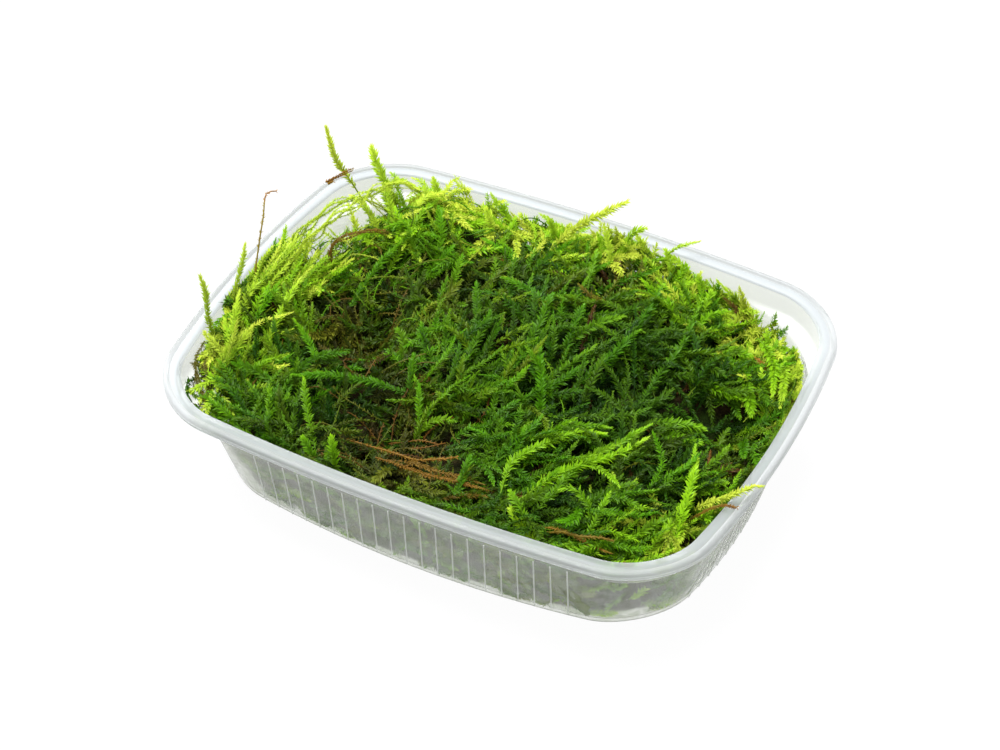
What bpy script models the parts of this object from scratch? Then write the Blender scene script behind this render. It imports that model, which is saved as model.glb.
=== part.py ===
"""Clump of stream moss in a translucent rounded tray.

The tray is one thin moulded shell. The moss fills it as a tangled mass, and the longest
shoots, bare stems and dead twigs stand out of the mass past the rim.
X runs along the tray, Y across it and Z up. The origin is under the tray's middle.
"""
import math

import bpy
import bmesh
from mathutils import Vector, noise

MM = 0.001

# Tray, overall sizes in metres
RIM_LENGTH = 0.143
RIM_WIDTH = 0.1098
TRAY_HEIGHT = 0.031
RIM_CORNER = 0.0171
RIM_BOW_X = 0.0052
RIM_BOW_Y = 0.0038
BASE_LENGTH = 0.1251
BASE_WIDTH = 0.0897
BASE_CORNER = 0.0142
BASE_BOW = 0.006
WALL = 0.0007
FOOT_INSET = 0.0014
FOOT_HEIGHT = 0.0012
FOOT_ROUND = 0.3

# Flange, lip and the corner shoulders that a second tray would stack on
FLANGE_WIDTH = 0.0037
FLANGE_THICKNESS = 0.0008
LIP_DROP = 0.0021
LIP_THICKNESS = 0.0008
BEAD_INNER = 0.0013
BEAD_RISE = 0.0004
EDGE_ROUND = 0.0005
COLLAR_DRAFT = 0.0004
SHOULDER_DEPTH = 0.0069
SHOULDER_INSET = 0.0039
SHOULDER_CORNER = 0.024
SHOULDER_SLOPE = 0.001

# Ribs on the outside of the wall
RIB_PITCH = 0.004
RIBS_LONG_SIDE = 21
RIBS_SHORT_SIDE = 13
RIB_RISE = 0.00035
RIB_WIDTH = 0.0005
RIB_CREST = 0.8
RIB_ROOT = 0.00045
RIB_FOOT = 0.0007

# Moss
TOUCH_GAP = 0.0004
MOSS_LEVEL = 0.027
LUMP_RISE, LUMP_SIZE, LUMP_SEED = 0.0016, 0.011, 0.3
GRAIN_RISE, GRAIN_SIZE, GRAIN_SEED = 0.0009, 0.005, 0.7
EDGE_DROP = 0.002
STRAY_GAP = 0.0004

# Steps round a corner, along a long side and along a short side
TRAY_STEPS = (5, 6, 6)
MOSS_STEPS = (6, 8, 6)


class Outline:
    """Rounded rectangle whose sides bow outwards; length and width are overall."""

    def __init__(self, length, width, corner, bow_x, bow_y):
        self.half_x = length / 2 - bow_x
        self.half_y = width / 2 - bow_y
        self.corner = corner
        self.bow_x = bow_x
        self.bow_y = bow_y

    def bowed(self, x, y, inset):
        """Move a point of the plain rounded rectangle onto the bowed one."""
        across = x / (self.half_x - inset)
        along = y / (self.half_y - inset)
        return (x + self.bow_x * across * max(0.0, 1 - along * along),
                y + self.bow_y * along * max(0.0, 1 - across * across))

    def ring(self, inset, z, steps=TRAY_STEPS):
        """Points anticlockwise, starting where the +X side meets its +Y corner."""
        half_x, half_y = self.half_x - inset, self.half_y - inset
        corner = self.corner - inset
        arc_steps, long_steps, short_steps = steps
        centres = [Vector((x * (half_x - corner), y * (half_y - corner)))
                   for x, y in ((1, 1), (-1, 1), (-1, -1), (1, -1))]
        points = []
        for quarter, centre in enumerate(centres):
            for step in range(arc_steps + 1):
                angle = math.radians(90 * (quarter + step / arc_steps))
                points.append(centre + corner * Vector((math.cos(angle), math.sin(angle))))
            side = centres[(quarter + 1) % 4] - centre
            side_steps = short_steps if quarter % 2 else long_steps
            start = points[-1]
            for step in range(1, side_steps):
                points.append(start + side * step / side_steps)
        return [Vector((*self.bowed(p.x, p.y, inset), z)) for p in points]

    def long_side(self, x):
        """Distance of the long side from the X axis at a place x along it."""
        return self.half_y + self.bow_y * (1 - (x / self.half_x) ** 2)

    def short_side(self, y):
        """Distance of the short side from the Y axis at a place y along it."""
        return self.half_x + self.bow_x * (1 - (y / self.half_y) ** 2)


RIM = Outline(RIM_LENGTH, RIM_WIDTH, RIM_CORNER, RIM_BOW_X, RIM_BOW_Y)
SHOULDER = Outline(RIM_LENGTH - 2 * SHOULDER_INSET, RIM_WIDTH - 2 * SHOULDER_INSET,
                   SHOULDER_CORNER, RIM_BOW_X, RIM_BOW_Y)
BASE = Outline(BASE_LENGTH, BASE_WIDTH, BASE_CORNER, BASE_BOW, BASE_BOW)


def material(name, colour, roughness, transmission=0.0):
    """Principled material in one finish."""
    mat = bpy.data.materials.new(name)
    mat.use_nodes = True
    shader = mat.node_tree.nodes["Principled BSDF"]
    shader.inputs["Base Color"].default_value = (*colour, 1.0)
    shader.inputs["Roughness"].default_value = roughness
    shader.inputs["Metallic"].default_value = 0.0
    shader.inputs["Transmission Weight"].default_value = transmission
    mat.diffuse_color = (*colour, 1.0)
    return mat


def add_object(name, mesh_data, mat):
    """Turn a bmesh into a named object and free the bmesh."""
    mesh = bpy.data.meshes.new(name)
    bmesh.ops.recalc_face_normals(mesh_data, faces=mesh_data.faces)
    mesh_data.to_mesh(mesh)
    mesh_data.free()
    mesh.materials.append(mat)
    obj = bpy.data.objects.new(name, mesh)
    bpy.context.scene.collection.objects.link(obj)
    return obj


def loft(mesh_data, rings):
    """Skin a row of rings and close both ends."""
    rows = [[mesh_data.verts.new(p) for p in ring] for ring in rings]
    count = len(rows[0])
    for low, high in zip(rows, rows[1:]):
        for i in range(count):
            j = (i + 1) % count
            mesh_data.faces.new((low[i], low[j], high[j], high[i]))
    mesh_data.faces.new(list(reversed(rows[0])))
    mesh_data.faces.new(rows[-1])


def boolean(target, cutter, operation):
    """Join or cut with the exact solver, and keep the second shape out of the model."""
    cutter.hide_render = True
    cutter.display_type = "WIRE"
    modifier = target.modifiers.new(cutter.name, "BOOLEAN")
    modifier.operation = operation
    modifier.solver = "EXACT"
    modifier.use_self = operation == "UNION"
    modifier.object = cutter


def wall_section():
    """Rings of the shell: up the outside, over the lip and bead, down the inside."""
    top = TRAY_HEIGHT
    flat = top - BEAD_RISE
    under_flange = flat - FLANGE_THICKNESS
    shoulder = top - SHOULDER_DEPTH
    collar = FLANGE_WIDTH - WALL
    return [
        BASE.ring(FOOT_INSET, 0.0),
        BASE.ring(FOOT_INSET * FOOT_ROUND, FOOT_HEIGHT * FOOT_ROUND),
        BASE.ring(0.0, FOOT_HEIGHT),
        SHOULDER.ring(0.0, shoulder - SHOULDER_SLOPE / 2),
        RIM.ring(collar + COLLAR_DRAFT, shoulder + SHOULDER_SLOPE / 2),
        RIM.ring(collar, under_flange),
        RIM.ring(LIP_THICKNESS + EDGE_ROUND / 5, under_flange),
        RIM.ring(LIP_THICKNESS, top - LIP_DROP),
        RIM.ring(0.0, top - LIP_DROP),
        RIM.ring(EDGE_ROUND / 2, top - EDGE_ROUND),
        RIM.ring(EDGE_ROUND, top),
        RIM.ring(BEAD_INNER, top),
        RIM.ring(BEAD_INNER + EDGE_ROUND / 2, flat),
        RIM.ring(FLANGE_WIDTH, flat),
        RIM.ring(FLANGE_WIDTH + EDGE_ROUND / 2, flat - EDGE_ROUND),
        RIM.ring(FLANGE_WIDTH + COLLAR_DRAFT, shoulder + SHOULDER_SLOPE),
        SHOULDER.ring(WALL, shoulder),
        BASE.ring(WALL, WALL + FOOT_HEIGHT),
        BASE.ring(WALL + FOOT_INSET * 0.7, WALL),
    ]


def rib(mesh_data, place, outward, along):
    """One rib: a thin strip set into the wall, from its foot up to the shoulder."""
    heights = (RIB_FOOT, TRAY_HEIGHT - SHOULDER_DEPTH)
    rings = []
    for outline, z in zip((BASE, SHOULDER), heights):
        side = outline.long_side if outward.y else outline.short_side
        surface = outward * side(place) + along * place
        root = surface - outward * RIB_ROOT
        crest = surface + outward * RIB_RISE
        half = along * RIB_WIDTH / 2
        corners = (root - half, root + half, crest + half * RIB_CREST, crest - half * RIB_CREST)
        rings.append([corner + Vector((0, 0, z)) for corner in corners])
    loft(mesh_data, rings)


def make_tray():
    """The moulded tray with its ribs joined to the wall."""
    plastic = material("frosted_plastic", (0.86, 0.88, 0.88), 0.3, 0.6)
    shell = bmesh.new()
    loft(shell, wall_section())
    tray = add_object("tray", shell, plastic)
    ribs = bmesh.new()
    x_axis, y_axis = Vector((1, 0, 0)), Vector((0, 1, 0))
    for sign in (-1, 1):
        for i in range(RIBS_LONG_SIDE):
            rib(ribs, (i - (RIBS_LONG_SIDE - 1) / 2) * RIB_PITCH, y_axis * sign, x_axis)
        for i in range(RIBS_SHORT_SIDE):
            rib(ribs, (i - (RIBS_SHORT_SIDE - 1) / 2) * RIB_PITCH, x_axis * sign, y_axis)
    boolean(tray, add_object("tray_ribs", ribs, plastic), "UNION")
    return tray


# Mounds and hollows of the moss: middle x, y, spread and rise, all in millimetres
MOUNDS = (
    (-36, 28, 15, 8.5),
    (-60, -12, 10, 6),
    (0, 8, 26, 6),
    (25, 18, 18, 3),
    (40, -30, 18, 3),
    (-60, 40, 12, -9),
    (-34, -6, 8, -7),
    (52, 8, 9, -7),
    (-12, -29, 12, -4),
    (45, 42, 20, -4),
    (66, 10, 14, -3),
)
# Rings of the mass up its sides and then in over its top, as shares of each way
SIDE_RINGS = (0.4, 0.8)
TOP_RINGS = (0.965, 0.91, 0.84, 0.76, 0.67, 0.57, 0.46, 0.35, 0.23, 0.11)
MOSS_MIDDLE = Vector((0.004, 0.002))
MOSS_FOOT = 0.0018

# Clear shoots and stems that lie on the mass and are grown into it: widest radius, rise of
# the tip, then the route over the surface from root to tip, all in millimetres. The ones
# under BARE_BELOW in radius are bare stems
SURFACE_SHOOTS = (
    (0.6, 1, (-24, -9), (-25, 5), (-24, 10), (-34, 11), (-45, 8)),
    (0.6, 1, (-12, -13), (-13, -6), (-18, -1), (-24, 5)),
    (1.5, 2, (-14, -18), (-27, -21), (-39, -29)),
    (1.4, 2, (-37, -43), (-42, -34)),
    (1.6, 3, (-25, -43), (-31, -36), (-36, -29)),
    (0.6, 1, (-29, -20), (-37, -27), (-40, -31), (-36, -39), (-31, -43)),
    (0.7, 1, (-21, -36), (-12, -35), (-2, -37), (7, -35)),
    (1.5, 2, (-15, -9), (-20, -2)),
    (1.5, 2, (-14, -19), (-17, -11)),
    (1.7, 2, (5, -6), (6, 7), (4, 19)),
    (1.6, 2, (-5, -10), (-6, 6)),
    (1.6, 2, (-6, 0), (-15, 16)),
    (1.6, 2, (14, 4), (12, 19)),
    (1.7, 2, (25, 1), (25, 21), (23, 41)),
    (1.6, 2, (19, -7), (25, 7), (27, 18)),
    (1.6, 2, (35, 0), (36, 21), (33, 38)),
    (1.6, 2, (9, -19), (14, -8), (21, 2)),
    (1.7, 2, (17, -33), (19, -24), (25, -16), (34, -12)),
    (1.8, 3, (29, -42), (31, -35), (35, -21), (42, -8)),
    (1.5, 2, (24, -38), (30, -30)),
    (1.7, 3, (52, -40), (55, -33), (58, -23), (53, -8)),
    (1.8, 2, (31, -46), (23, -40)),
    (0.8, 1, (34, -44), (42, -44), (49, -42)),
    (0.8, 0, (60, -18), (55, -4)),
    (1.5, 2, (41, -5), (51, 1)),
    (1.5, 2, (45, 14), (54, 19)),
    (1.5, 2, (51, 27), (60, 17)),
    (1.5, 2, (57, 22), (54, 36)),
    (1.5, 2, (58, 8), (63, -4)),
    (1.5, 2, (-16, 28), (-19, 44)),
    (1.5, 2, (8, 29), (3, 44)),
    (1.5, 2, (32, 33), (34, 45)),
    (1.5, 2, (18, 36), (15, 46)),
    (1.6, 3, (-59, -24), (-61, -9), (-62, 7)),
    (1.6, 3, (-56, -35), (-59, -23), (-62, -14)),
    (1.6, 3, (-50, -26), (-52, -13), (-54, 0)),
    (1.6, 2, (-38, 14), (-36, 26), (-37, 38)),
    (1.5, 2, (-42, 2), (-40, 13), (-37, 19)),
    (1.5, 2, (11, -45), (10, -34)),
    (1.6, 2, (51, -33), (42, -28)),
)
BARE_BELOW = 1
SURFACE_SIDES = 5
SURFACE_SPACING = 0.006
LIE_HIGH = 0.0008
ROOT_SINK = 0.0017
ROOT_SHARE = 0.25


def moss_height(x, y):
    """Height of the tips of the shoots over one place of the tray."""
    height = MOSS_LEVEL
    for mound_x, mound_y, spread, rise in MOUNDS:
        away = math.hypot(x / MM - mound_x, y / MM - mound_y) / spread
        height += rise * MM * math.exp(-away * away)
    for rise, size, seed in ((LUMP_RISE, LUMP_SIZE, LUMP_SEED),
                             (GRAIN_RISE, GRAIN_SIZE, GRAIN_SEED)):
        height += rise * noise.noise(Vector((x / size, y / size, seed)))
    return height


def smooth_path(points, spacing):
    """Points about one spacing apart on a smooth curve through the given ones."""
    row = [Vector(p) * MM for p in points]
    row = [row[0] * 2 - row[1]] + row + [row[-1] * 2 - row[-2]]
    path = []
    for i in range(1, len(row) - 2):
        before, a, b, after = row[i - 1:i + 3]
        steps = max(1, round((b - a).length / spacing))
        for step in range(steps):
            t = step / steps
            path.append(0.5 * ((2 * a) + (b - before) * t
                               + (2 * before - 5 * a + 4 * b - after) * t ** 2
                               + (3 * a - before - 3 * b + after) * t ** 3))
    path.append(row[-2])
    return path


# Radius of a leafy shoot at its root and at its tip as parts of the widest, how fast each
# swells to the full width, and how much a bare stem narrows
ROOT_PART, ROOT_SWELL = 0.45, 1.8
TIP_PART, TIP_SWELL = 0.3, 2.6
BARE_TAPER = 0.4


def shoot_radius(share, widest, bare):
    """Radius along a shoot, from its root to its pointed tip; share runs from 0 to 1."""
    if bare:
        return widest * (1 - BARE_TAPER * share)
    from_root = min(1.0, ROOT_PART + ROOT_SWELL * share)
    to_tip = min(1.0, TIP_PART + TIP_SWELL * (1 - share))
    return widest * from_root * to_tip


def tube_rings(path, radii, sides):
    """Rings square to the path, kept from twisting."""
    rings = []
    across = None
    for i, point in enumerate(path):
        ahead = path[min(i + 1, len(path) - 1)] - path[max(i - 1, 0)]
        ahead.normalize()
        if across is None:
            across = ahead.orthogonal().normalized()
        across = (across - ahead * across.dot(ahead)).normalized()
        other = ahead.cross(across)
        ring = []
        for k in range(sides):
            angle = 2 * math.pi * k / sides
            ring.append(point + radii[i] * (math.cos(angle) * across + math.sin(angle) * other))
        rings.append(ring)
    return rings


def make_moss_mass():
    """The tangled mass, pressed into the tray and open to the air above."""
    green = material("moss_green", (0.09, 0.20, 0.02), 0.7)
    inset = WALL + TOUCH_GAP
    foot, shoulder = MOSS_FOOT, TRAY_HEIGHT - SHOULDER_DEPTH
    low = BASE.ring(inset, 0.0, MOSS_STEPS)
    high = SHOULDER.ring(inset, 0.0, MOSS_STEPS)

    def beside_wall(i, z):
        """Place next to the inside of the sloping wall at one height."""
        flat = low[i].lerp(high[i], (z - foot) / (shoulder - foot))
        return Vector((flat.x, flat.y, z))

    rim_points = []
    for i, p in enumerate(high):
        edge_z = min(moss_height(p.x, p.y) - EDGE_DROP, shoulder - TOUCH_GAP)
        rim_points.append(beside_wall(i, edge_z))
    rings = [BASE.ring(inset + FOOT_INSET, inset, MOSS_STEPS),
             BASE.ring(inset + EDGE_ROUND / 2, inset + FOOT_HEIGHT, MOSS_STEPS)]
    for share in SIDE_RINGS:
        rings.append([beside_wall(i, foot + (p.z - foot) * share)
                      for i, p in enumerate(rim_points)])
    rings.append(rim_points)
    for share in TOP_RINGS:
        ring = []
        for p in rim_points:
            flat = MOSS_MIDDLE.lerp(p.xy, share)
            ring.append(Vector((flat.x, flat.y, moss_height(flat.x, flat.y))))
        rings.append(ring)
    mesh_data = bmesh.new()
    loft(mesh_data, rings)
    mass = add_object("moss_mass", mesh_data, green)
    shoots = bmesh.new()
    for widest, tip_rise, *route in SURFACE_SHOOTS:
        path = smooth_path([(x, y, 0) for x, y in route], SURFACE_SPACING)
        last = len(path) - 1
        radii = []
        for i, p in enumerate(path):
            share = i / last
            sunk = ROOT_SINK * max(0.0, 1 - share / ROOT_SHARE)
            p.z = moss_height(p.x, p.y) + tip_rise * MM * share ** 2 + LIE_HIGH - sunk
            radii.append(shoot_radius(share, widest * MM, widest < BARE_BELOW))
        loft(shoots, tube_rings(path, radii, SURFACE_SIDES))
    boolean(mass, add_object("surface_shoots", shoots, green), "UNION")
    return mass


# Shoots and stems that stand clear of the mass: route in millimetres from root to tip,
# widest radius in millimetres, and whether it is bare of leaves
STRAYS = {
    "shoot_left_rim": (((-64.0, -23.3, 25), (-64.6, -23.4, 30), (-65.4, -22.9, 34),
                        (-66.6, -21.1, 39), (-68.3, -20.4, 43)), 1.5, False),
    "shoot_left_tall": (((-63.6, -16.0, 28), (-63.2, -15.0, 33), (-63.1, -13.6, 37),
                         (-63.4, -9.6, 41), (-64.3, -6.8, 44)), 1.5, False),
    "twig_pale": (((-64.6, -3.8, 26), (-65.2, -2.7, 31), (-66.3, 1.7, 37),
                   (-67.2, 5.8, 42), (-69.0, 10.5, 45), (-67.1, 12.3, 45.3)), 0.45, True),
    "shoot_far_tall": (((-50.5, 29.0, 27), (-54.8, 30.8, 34), (-58.2, 30.4, 40),
                        (-61.1, 29.9, 45), (-64.5, 32.0, 52)), 1.2, False),
    "twig_crossed": (((-62.0, 24.8, 41), (-59.6, 27.2, 42.2), (-58.0, 28.6, 42.8),
                      (-55.8, 30.4, 43.4)), 0.4, True),
    "shoot_far_upright": (((-43.6, 31.9, 29), (-47.4, 33.0, 36), (-53.0, 36.2, 41),
                           (-55.8, 38.3, 44.5)), 1.4, False),
    "stem_arch_outer": (((-58.8, 7.4, 26), (-58.0, 9.1, 33), (-55.0, 13.4, 38),
                         (-51.6, 20.4, 41), (-48.4, 27.3, 41.6), (-43.8, 35.3, 38.5),
                         (-40.5, 40.5, 31)), 0.55, True),
    "stem_arch_inner": (((-63.4, 11.9, 24), (-63.0, 13.5, 31), (-58.8, 16.4, 37),
                         (-54.6, 22.6, 40), (-50.8, 26.6, 39.6), (-46.0, 28.8, 33)), 0.5, True),
    "stem_brown": (((-52.6, 9.6, 27), (-52.4, 11.6, 33.6), (-48.8, 15.0, 36.4),
                    (-43.6, 18.8, 36.8), (-38.6, 24.6, 32)), 0.5, True),
    "shoot_back_feather": (((-9.0, 40.5, 25), (-5.2, 42.7, 31.6), (-0.5, 45.6, 36),
                            (3.7, 47.9, 39), (7.4, 51.2, 41)), 1.7, False),
    "shoot_back_hook": (((9.8, 45.1, 24), (9.6, 45.9, 31), (10.8, 47.0, 35.4),
                         (14.0, 48.0, 37.6)), 1.4, False),
    "shoot_back_arch": (((18.2, 47.4, 22.6), (19.2, 48.2, 29), (21.2, 49.2, 33),
                         (26.4, 52.4, 35)), 0.8, False),
    "shoot_over_rim": (((58.0, -23.0, 25), (62.0, -22.6, 30.6), (66.8, -19.9, 33.4),
                        (69.4, -16.7, 33.6), (71.6, -13.4, 33.0)), 1.3, False),
}
STRAY_SIDES = 6
STRAY_SPACING = 0.0035


def make_strays(mass):
    """Each standing shoot, with its pocket cut into the mass round its root."""
    leafy = material("moss_tip_green", (0.30, 0.46, 0.04), 0.6)
    brown = material("stem_brown", (0.23, 0.16, 0.04), 0.7)
    for name, (route, widest, bare) in STRAYS.items():
        path = smooth_path(route, STRAY_SPACING)
        last = len(path) - 1
        radii = [shoot_radius(i / last, widest * MM, bare) for i in range(last + 1)]
        shoot = bmesh.new()
        loft(shoot, tube_rings(path, radii, STRAY_SIDES))
        add_object(name, shoot, brown if bare else leafy)
        back = (path[0] - path[1]).normalized() * STRAY_GAP
        ahead = (path[-1] - path[-2]).normalized() * STRAY_GAP
        longer = [path[0] + back] + path[1:-1] + [path[-1] + ahead]
        pocket = bmesh.new()
        loft(pocket, tube_rings(longer, [r + STRAY_GAP for r in radii], STRAY_SIDES))
        boolean(mass, add_object("pocket_" + name, pocket, leafy), "DIFFERENCE")


for old in list(bpy.data.objects):
    bpy.data.objects.remove(old, do_unlink=True)
make_tray()
make_strays(make_moss_mass())
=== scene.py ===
"""Clump of stream moss in a translucent plastic tray.

Leafy shoots are grown by one Geometry Nodes tree along guide lines: the long clear shoots
and stems follow their own routes, and the tangle between them follows a table of how the
moss lies, place by place. The tray is a fine moulded shell with its ribs.
X runs along the tray, Y across it, Z up, in metres.
"""
import random
from math import atan2, cos, exp, hypot, pi, radians, sin, tau

import bmesh
import bpy
from mathutils import Matrix, Vector, noise


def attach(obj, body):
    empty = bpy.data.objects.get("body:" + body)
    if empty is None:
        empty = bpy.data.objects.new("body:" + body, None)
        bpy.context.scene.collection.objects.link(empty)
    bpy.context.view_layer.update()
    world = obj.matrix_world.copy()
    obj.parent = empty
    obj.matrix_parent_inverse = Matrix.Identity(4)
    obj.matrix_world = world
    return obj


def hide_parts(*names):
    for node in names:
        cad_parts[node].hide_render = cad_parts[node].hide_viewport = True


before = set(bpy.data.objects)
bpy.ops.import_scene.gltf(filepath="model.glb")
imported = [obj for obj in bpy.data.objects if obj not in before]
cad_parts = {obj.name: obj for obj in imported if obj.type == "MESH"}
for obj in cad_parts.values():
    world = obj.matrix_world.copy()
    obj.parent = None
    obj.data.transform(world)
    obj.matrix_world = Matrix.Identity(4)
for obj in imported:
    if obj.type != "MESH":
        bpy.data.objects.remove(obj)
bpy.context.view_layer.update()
MM = 0.001

# Camera, in the tray's frame: a level view turned and raised, then a small roll
VIEW_TURN, VIEW_RISE, VIEW_ROLL = radians(28.31), radians(42.60), radians(-0.95)
VIEW_DISTANCE = 0.63204
VIEW_SLIDE = (-0.00044, 0.01723)
LENS = 95.02

# Tray, as in the solid
RIM_LENGTH, RIM_WIDTH, RIM_CORNER = 0.143, 0.1098, 0.0171
RIM_BOW_X, RIM_BOW_Y = 0.0052, 0.0038
BASE_LENGTH, BASE_WIDTH, BASE_CORNER, BASE_BOW = 0.1251, 0.0897, 0.0142, 0.006
TRAY_HEIGHT = 0.031
WALL = 0.0007
SHOULDER_DEPTH, SHOULDER_INSET, SHOULDER_CORNER = 0.0069, 0.0039, 0.024
RIB_PITCH, RIBS_LONG_SIDE, RIBS_SHORT_SIDE = 0.00396, 21, 13
SHOULDER_Z = TRAY_HEIGHT - SHOULDER_DEPTH


def maths(operation, flipped=False):
    """Method of Link that adds one node; flipped where the link comes second."""
    return lambda self, other: self.join(operation, other, flipped)


class Link:
    """A socket of a node tree; arithmetic on it adds Math or Vector Math nodes."""

    def __init__(self, tree, socket):
        self.tree = tree
        self.socket = socket

    def join(self, operation, other, flipped=False):
        pair = [other, self] if flipped else [self, other]
        vectors = [isinstance(p, Vector) or isinstance(p, Link) and p.socket.type == "VECTOR"
                   for p in pair]
        if not any(vectors):
            return self.tree.node("ShaderNodeMath", pair, operation=operation)
        if operation == "MULTIPLY" and not all(vectors):
            operation, pair = "SCALE", pair if vectors[0] else pair[::-1]
        return self.tree.node("ShaderNodeVectorMath", pair, operation=operation)

    __add__, __radd__ = maths("ADD"), maths("ADD", True)
    __sub__, __rsub__ = maths("SUBTRACT"), maths("SUBTRACT", True)
    __mul__, __rmul__ = maths("MULTIPLY"), maths("MULTIPLY", True)
    __mod__, __lt__ = maths("MODULO"), maths("LESS_THAN")
    cross = maths("CROSS_PRODUCT")

    def unit(self):
        return self.tree.node("ShaderNodeVectorMath", [self], operation="NORMALIZE")

    def of(self, operation):
        """One-value Math node, such as SINE."""
        return self.tree.node("ShaderNodeMath", [self], operation=operation)

    def kept(self, low, high):
        """The value, held between two limits."""
        return self.join("MAXIMUM", low).join("MINIMUM", high)


def pick(sockets, key):
    """The open socket with a name, or with a number among the open ones."""
    open_ones = [s for s in sockets if s.enabled]
    return next(s for s in open_ones if s.name == key) if isinstance(key, str) else open_ones[key]


class Tree:
    """Node tree, with one method that adds any node."""

    def __init__(self, tree):
        self.tree = tree

    def node(self, kind, inputs=(), output=0, **settings):
        """Add a node: its settings, then values or links of its sockets, by order or name."""
        new = self.tree.nodes.new(kind)
        for key, value in settings.items():
            if key == "stops":
                ramp = new.color_ramp
                while len(ramp.elements) < len(value):
                    ramp.elements.new(0.5)
                for element, (place, colour) in zip(ramp.elements, value):
                    element.position = place
                    element.color = (*colour, 1.0)
            else:
                setattr(new, key, value)
        if not isinstance(inputs, dict):
            inputs = dict(enumerate(inputs))
        for key, value in inputs.items():
            socket = pick(new.inputs, key)
            for link in value if isinstance(value, list) else [value]:
                if isinstance(link, Link):
                    self.tree.links.new(link.socket, socket)
                elif socket.type == "RGBA" and len(link) == 3:
                    socket.default_value = (*link, 1.0)
                else:
                    socket.default_value = link
        return Link(self, pick(new.outputs, output)) if new.outputs else new


def new_material(name):
    """Empty material and its node tree."""
    mat = bpy.data.materials.new(name)
    mat.use_nodes = True
    mat.node_tree.nodes.clear()
    return mat, Tree(mat.node_tree)


def finish_material(tree, shader):
    tree.node("ShaderNodeOutputMaterial", {"Surface": shader})


def from_to(tree, value, start, end):
    """0 to 1 as a value goes from the start to the end."""
    return tree.node("ShaderNodeMapRange", {"Value": value, "From Min": start, "From Max": end})


def ramp(tree, value, stops):
    """Colour for a value, blended between stops."""
    return tree.node("ShaderNodeValToRGB", [value], stops=stops)


def mix_colours(tree, share, first, second):
    return tree.node("ShaderNodeMix", {"Factor": share, "A": first, "B": second},
                     data_type="RGBA")


# Moss colours by kind, from dead and brown to fresh yellow-green: a painted-shade colour for deep
# in the tangle or at a leaf's foot, and a colour for out in the light
MOSS_COLOURS = (
    (0.00, (0.020, 0.010, 0.002), (0.170, 0.090, 0.018)),
    (0.14, (0.045, 0.018, 0.002), (0.430, 0.205, 0.027)),
    (0.28, (0.019, 0.016, 0.002), (0.280, 0.235, 0.026)),
    (0.42, (0.010, 0.015, 0.001), (0.290, 0.360, 0.021)),
    (0.58, (0.004, 0.015, 0.000), (0.200, 0.375, 0.008)),
    (0.74, (0.001, 0.016, 0.000), (0.115, 0.360, 0.005)),
    (0.88, (0.030, 0.080, 0.000), (0.360, 0.690, 0.011)),
    (1.00, (0.250, 0.300, 0.017), (0.720, 0.810, 0.085)),
)

# Light that comes through a leaf: its colour for the brownest kind, then from which kind to
# which it turns into each next colour
THROUGH_BROWN = (0.300, 0.140, 0.020)
THROUGH_COLOURS = (
    (0.20, 0.42, (0.280, 0.350, 0.020)),
    (0.50, 0.72, (0.120, 0.380, 0.005)),
    (0.80, 0.98, (0.660, 0.820, 0.070)),
)


def moss_material():
    """Wet leaves: colour by the leaf's own map, blended from a painted-shade colour to a lit
    colour by the painted light it holds, sheen, and light coming through.
    """
    mat, tree = new_material("wet_moss")
    leaf_map = tree.node("ShaderNodeUVMap", uv_map="OFBake")
    # The map's first value is the painted light and shade, its second the kind of colour.
    light = tree.node("ShaderNodeSeparateXYZ", [leaf_map], "X")
    kind = tree.node("ShaderNodeSeparateXYZ", [leaf_map], "Y")
    shaded = ramp(tree, kind, [(p, c) for p, c, _ in MOSS_COLOURS])
    lit = ramp(tree, kind, [(p, c) for p, _, c in MOSS_COLOURS])
    leaf = tree.node("ShaderNodeBsdfPrincipled", {
        "Base Color": mix_colours(tree, light, shaded, lit), "Roughness": 0.5 - 0.15 * light,
        "IOR": 1.36, "Specular IOR Level": 0.2})
    through = tree.node("ShaderNodeBsdfTranslucent", {"Color": THROUGH_BROWN})
    for start, end, tint in THROUGH_COLOURS:
        share = from_to(tree, kind, start, end)
        greener = tree.node("ShaderNodeBsdfTranslucent", {"Color": tint})
        through = tree.node("ShaderNodeMixShader", [share, through, greener])
    finish_material(tree, tree.node("ShaderNodeMixShader", [0.4 * light, leaf, through]))
    return mat


def core_material():
    """Old shoots deep in the tangle: strands of brown and green, kept near-black as painted shade.
    """
    mat, tree = new_material("old_moss")
    place = tree.node("ShaderNodeTexCoord", (), "Object")
    strands = tree.node("ShaderNodeTexNoise", {
        "Vector": place, "Scale": 700.0, "Detail": 4.0, "Roughness": 0.7, "Distortion": 1.2})
    patches = tree.node("ShaderNodeTexNoise", {"Vector": place, "Scale": 90.0})
    brown = ramp(tree, strands, ((0.3, (0.006, 0.004, 0.001)), (0.7, (0.045, 0.028, 0.006))))
    green = ramp(tree, strands, ((0.3, (0.004, 0.008, 0.001)), (0.7, (0.030, 0.065, 0.004))))
    share = from_to(tree, patches, 0.42, 0.6)
    bump = tree.node("ShaderNodeBump", {"Height": strands, "Distance": 0.001})
    finish_material(tree, tree.node("ShaderNodeBsdfPrincipled", {
        "Base Color": mix_colours(tree, share, brown, green), "Roughness": 0.8,
        "Specular IOR Level": 0.15, "Normal": bump}))
    return mat


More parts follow.
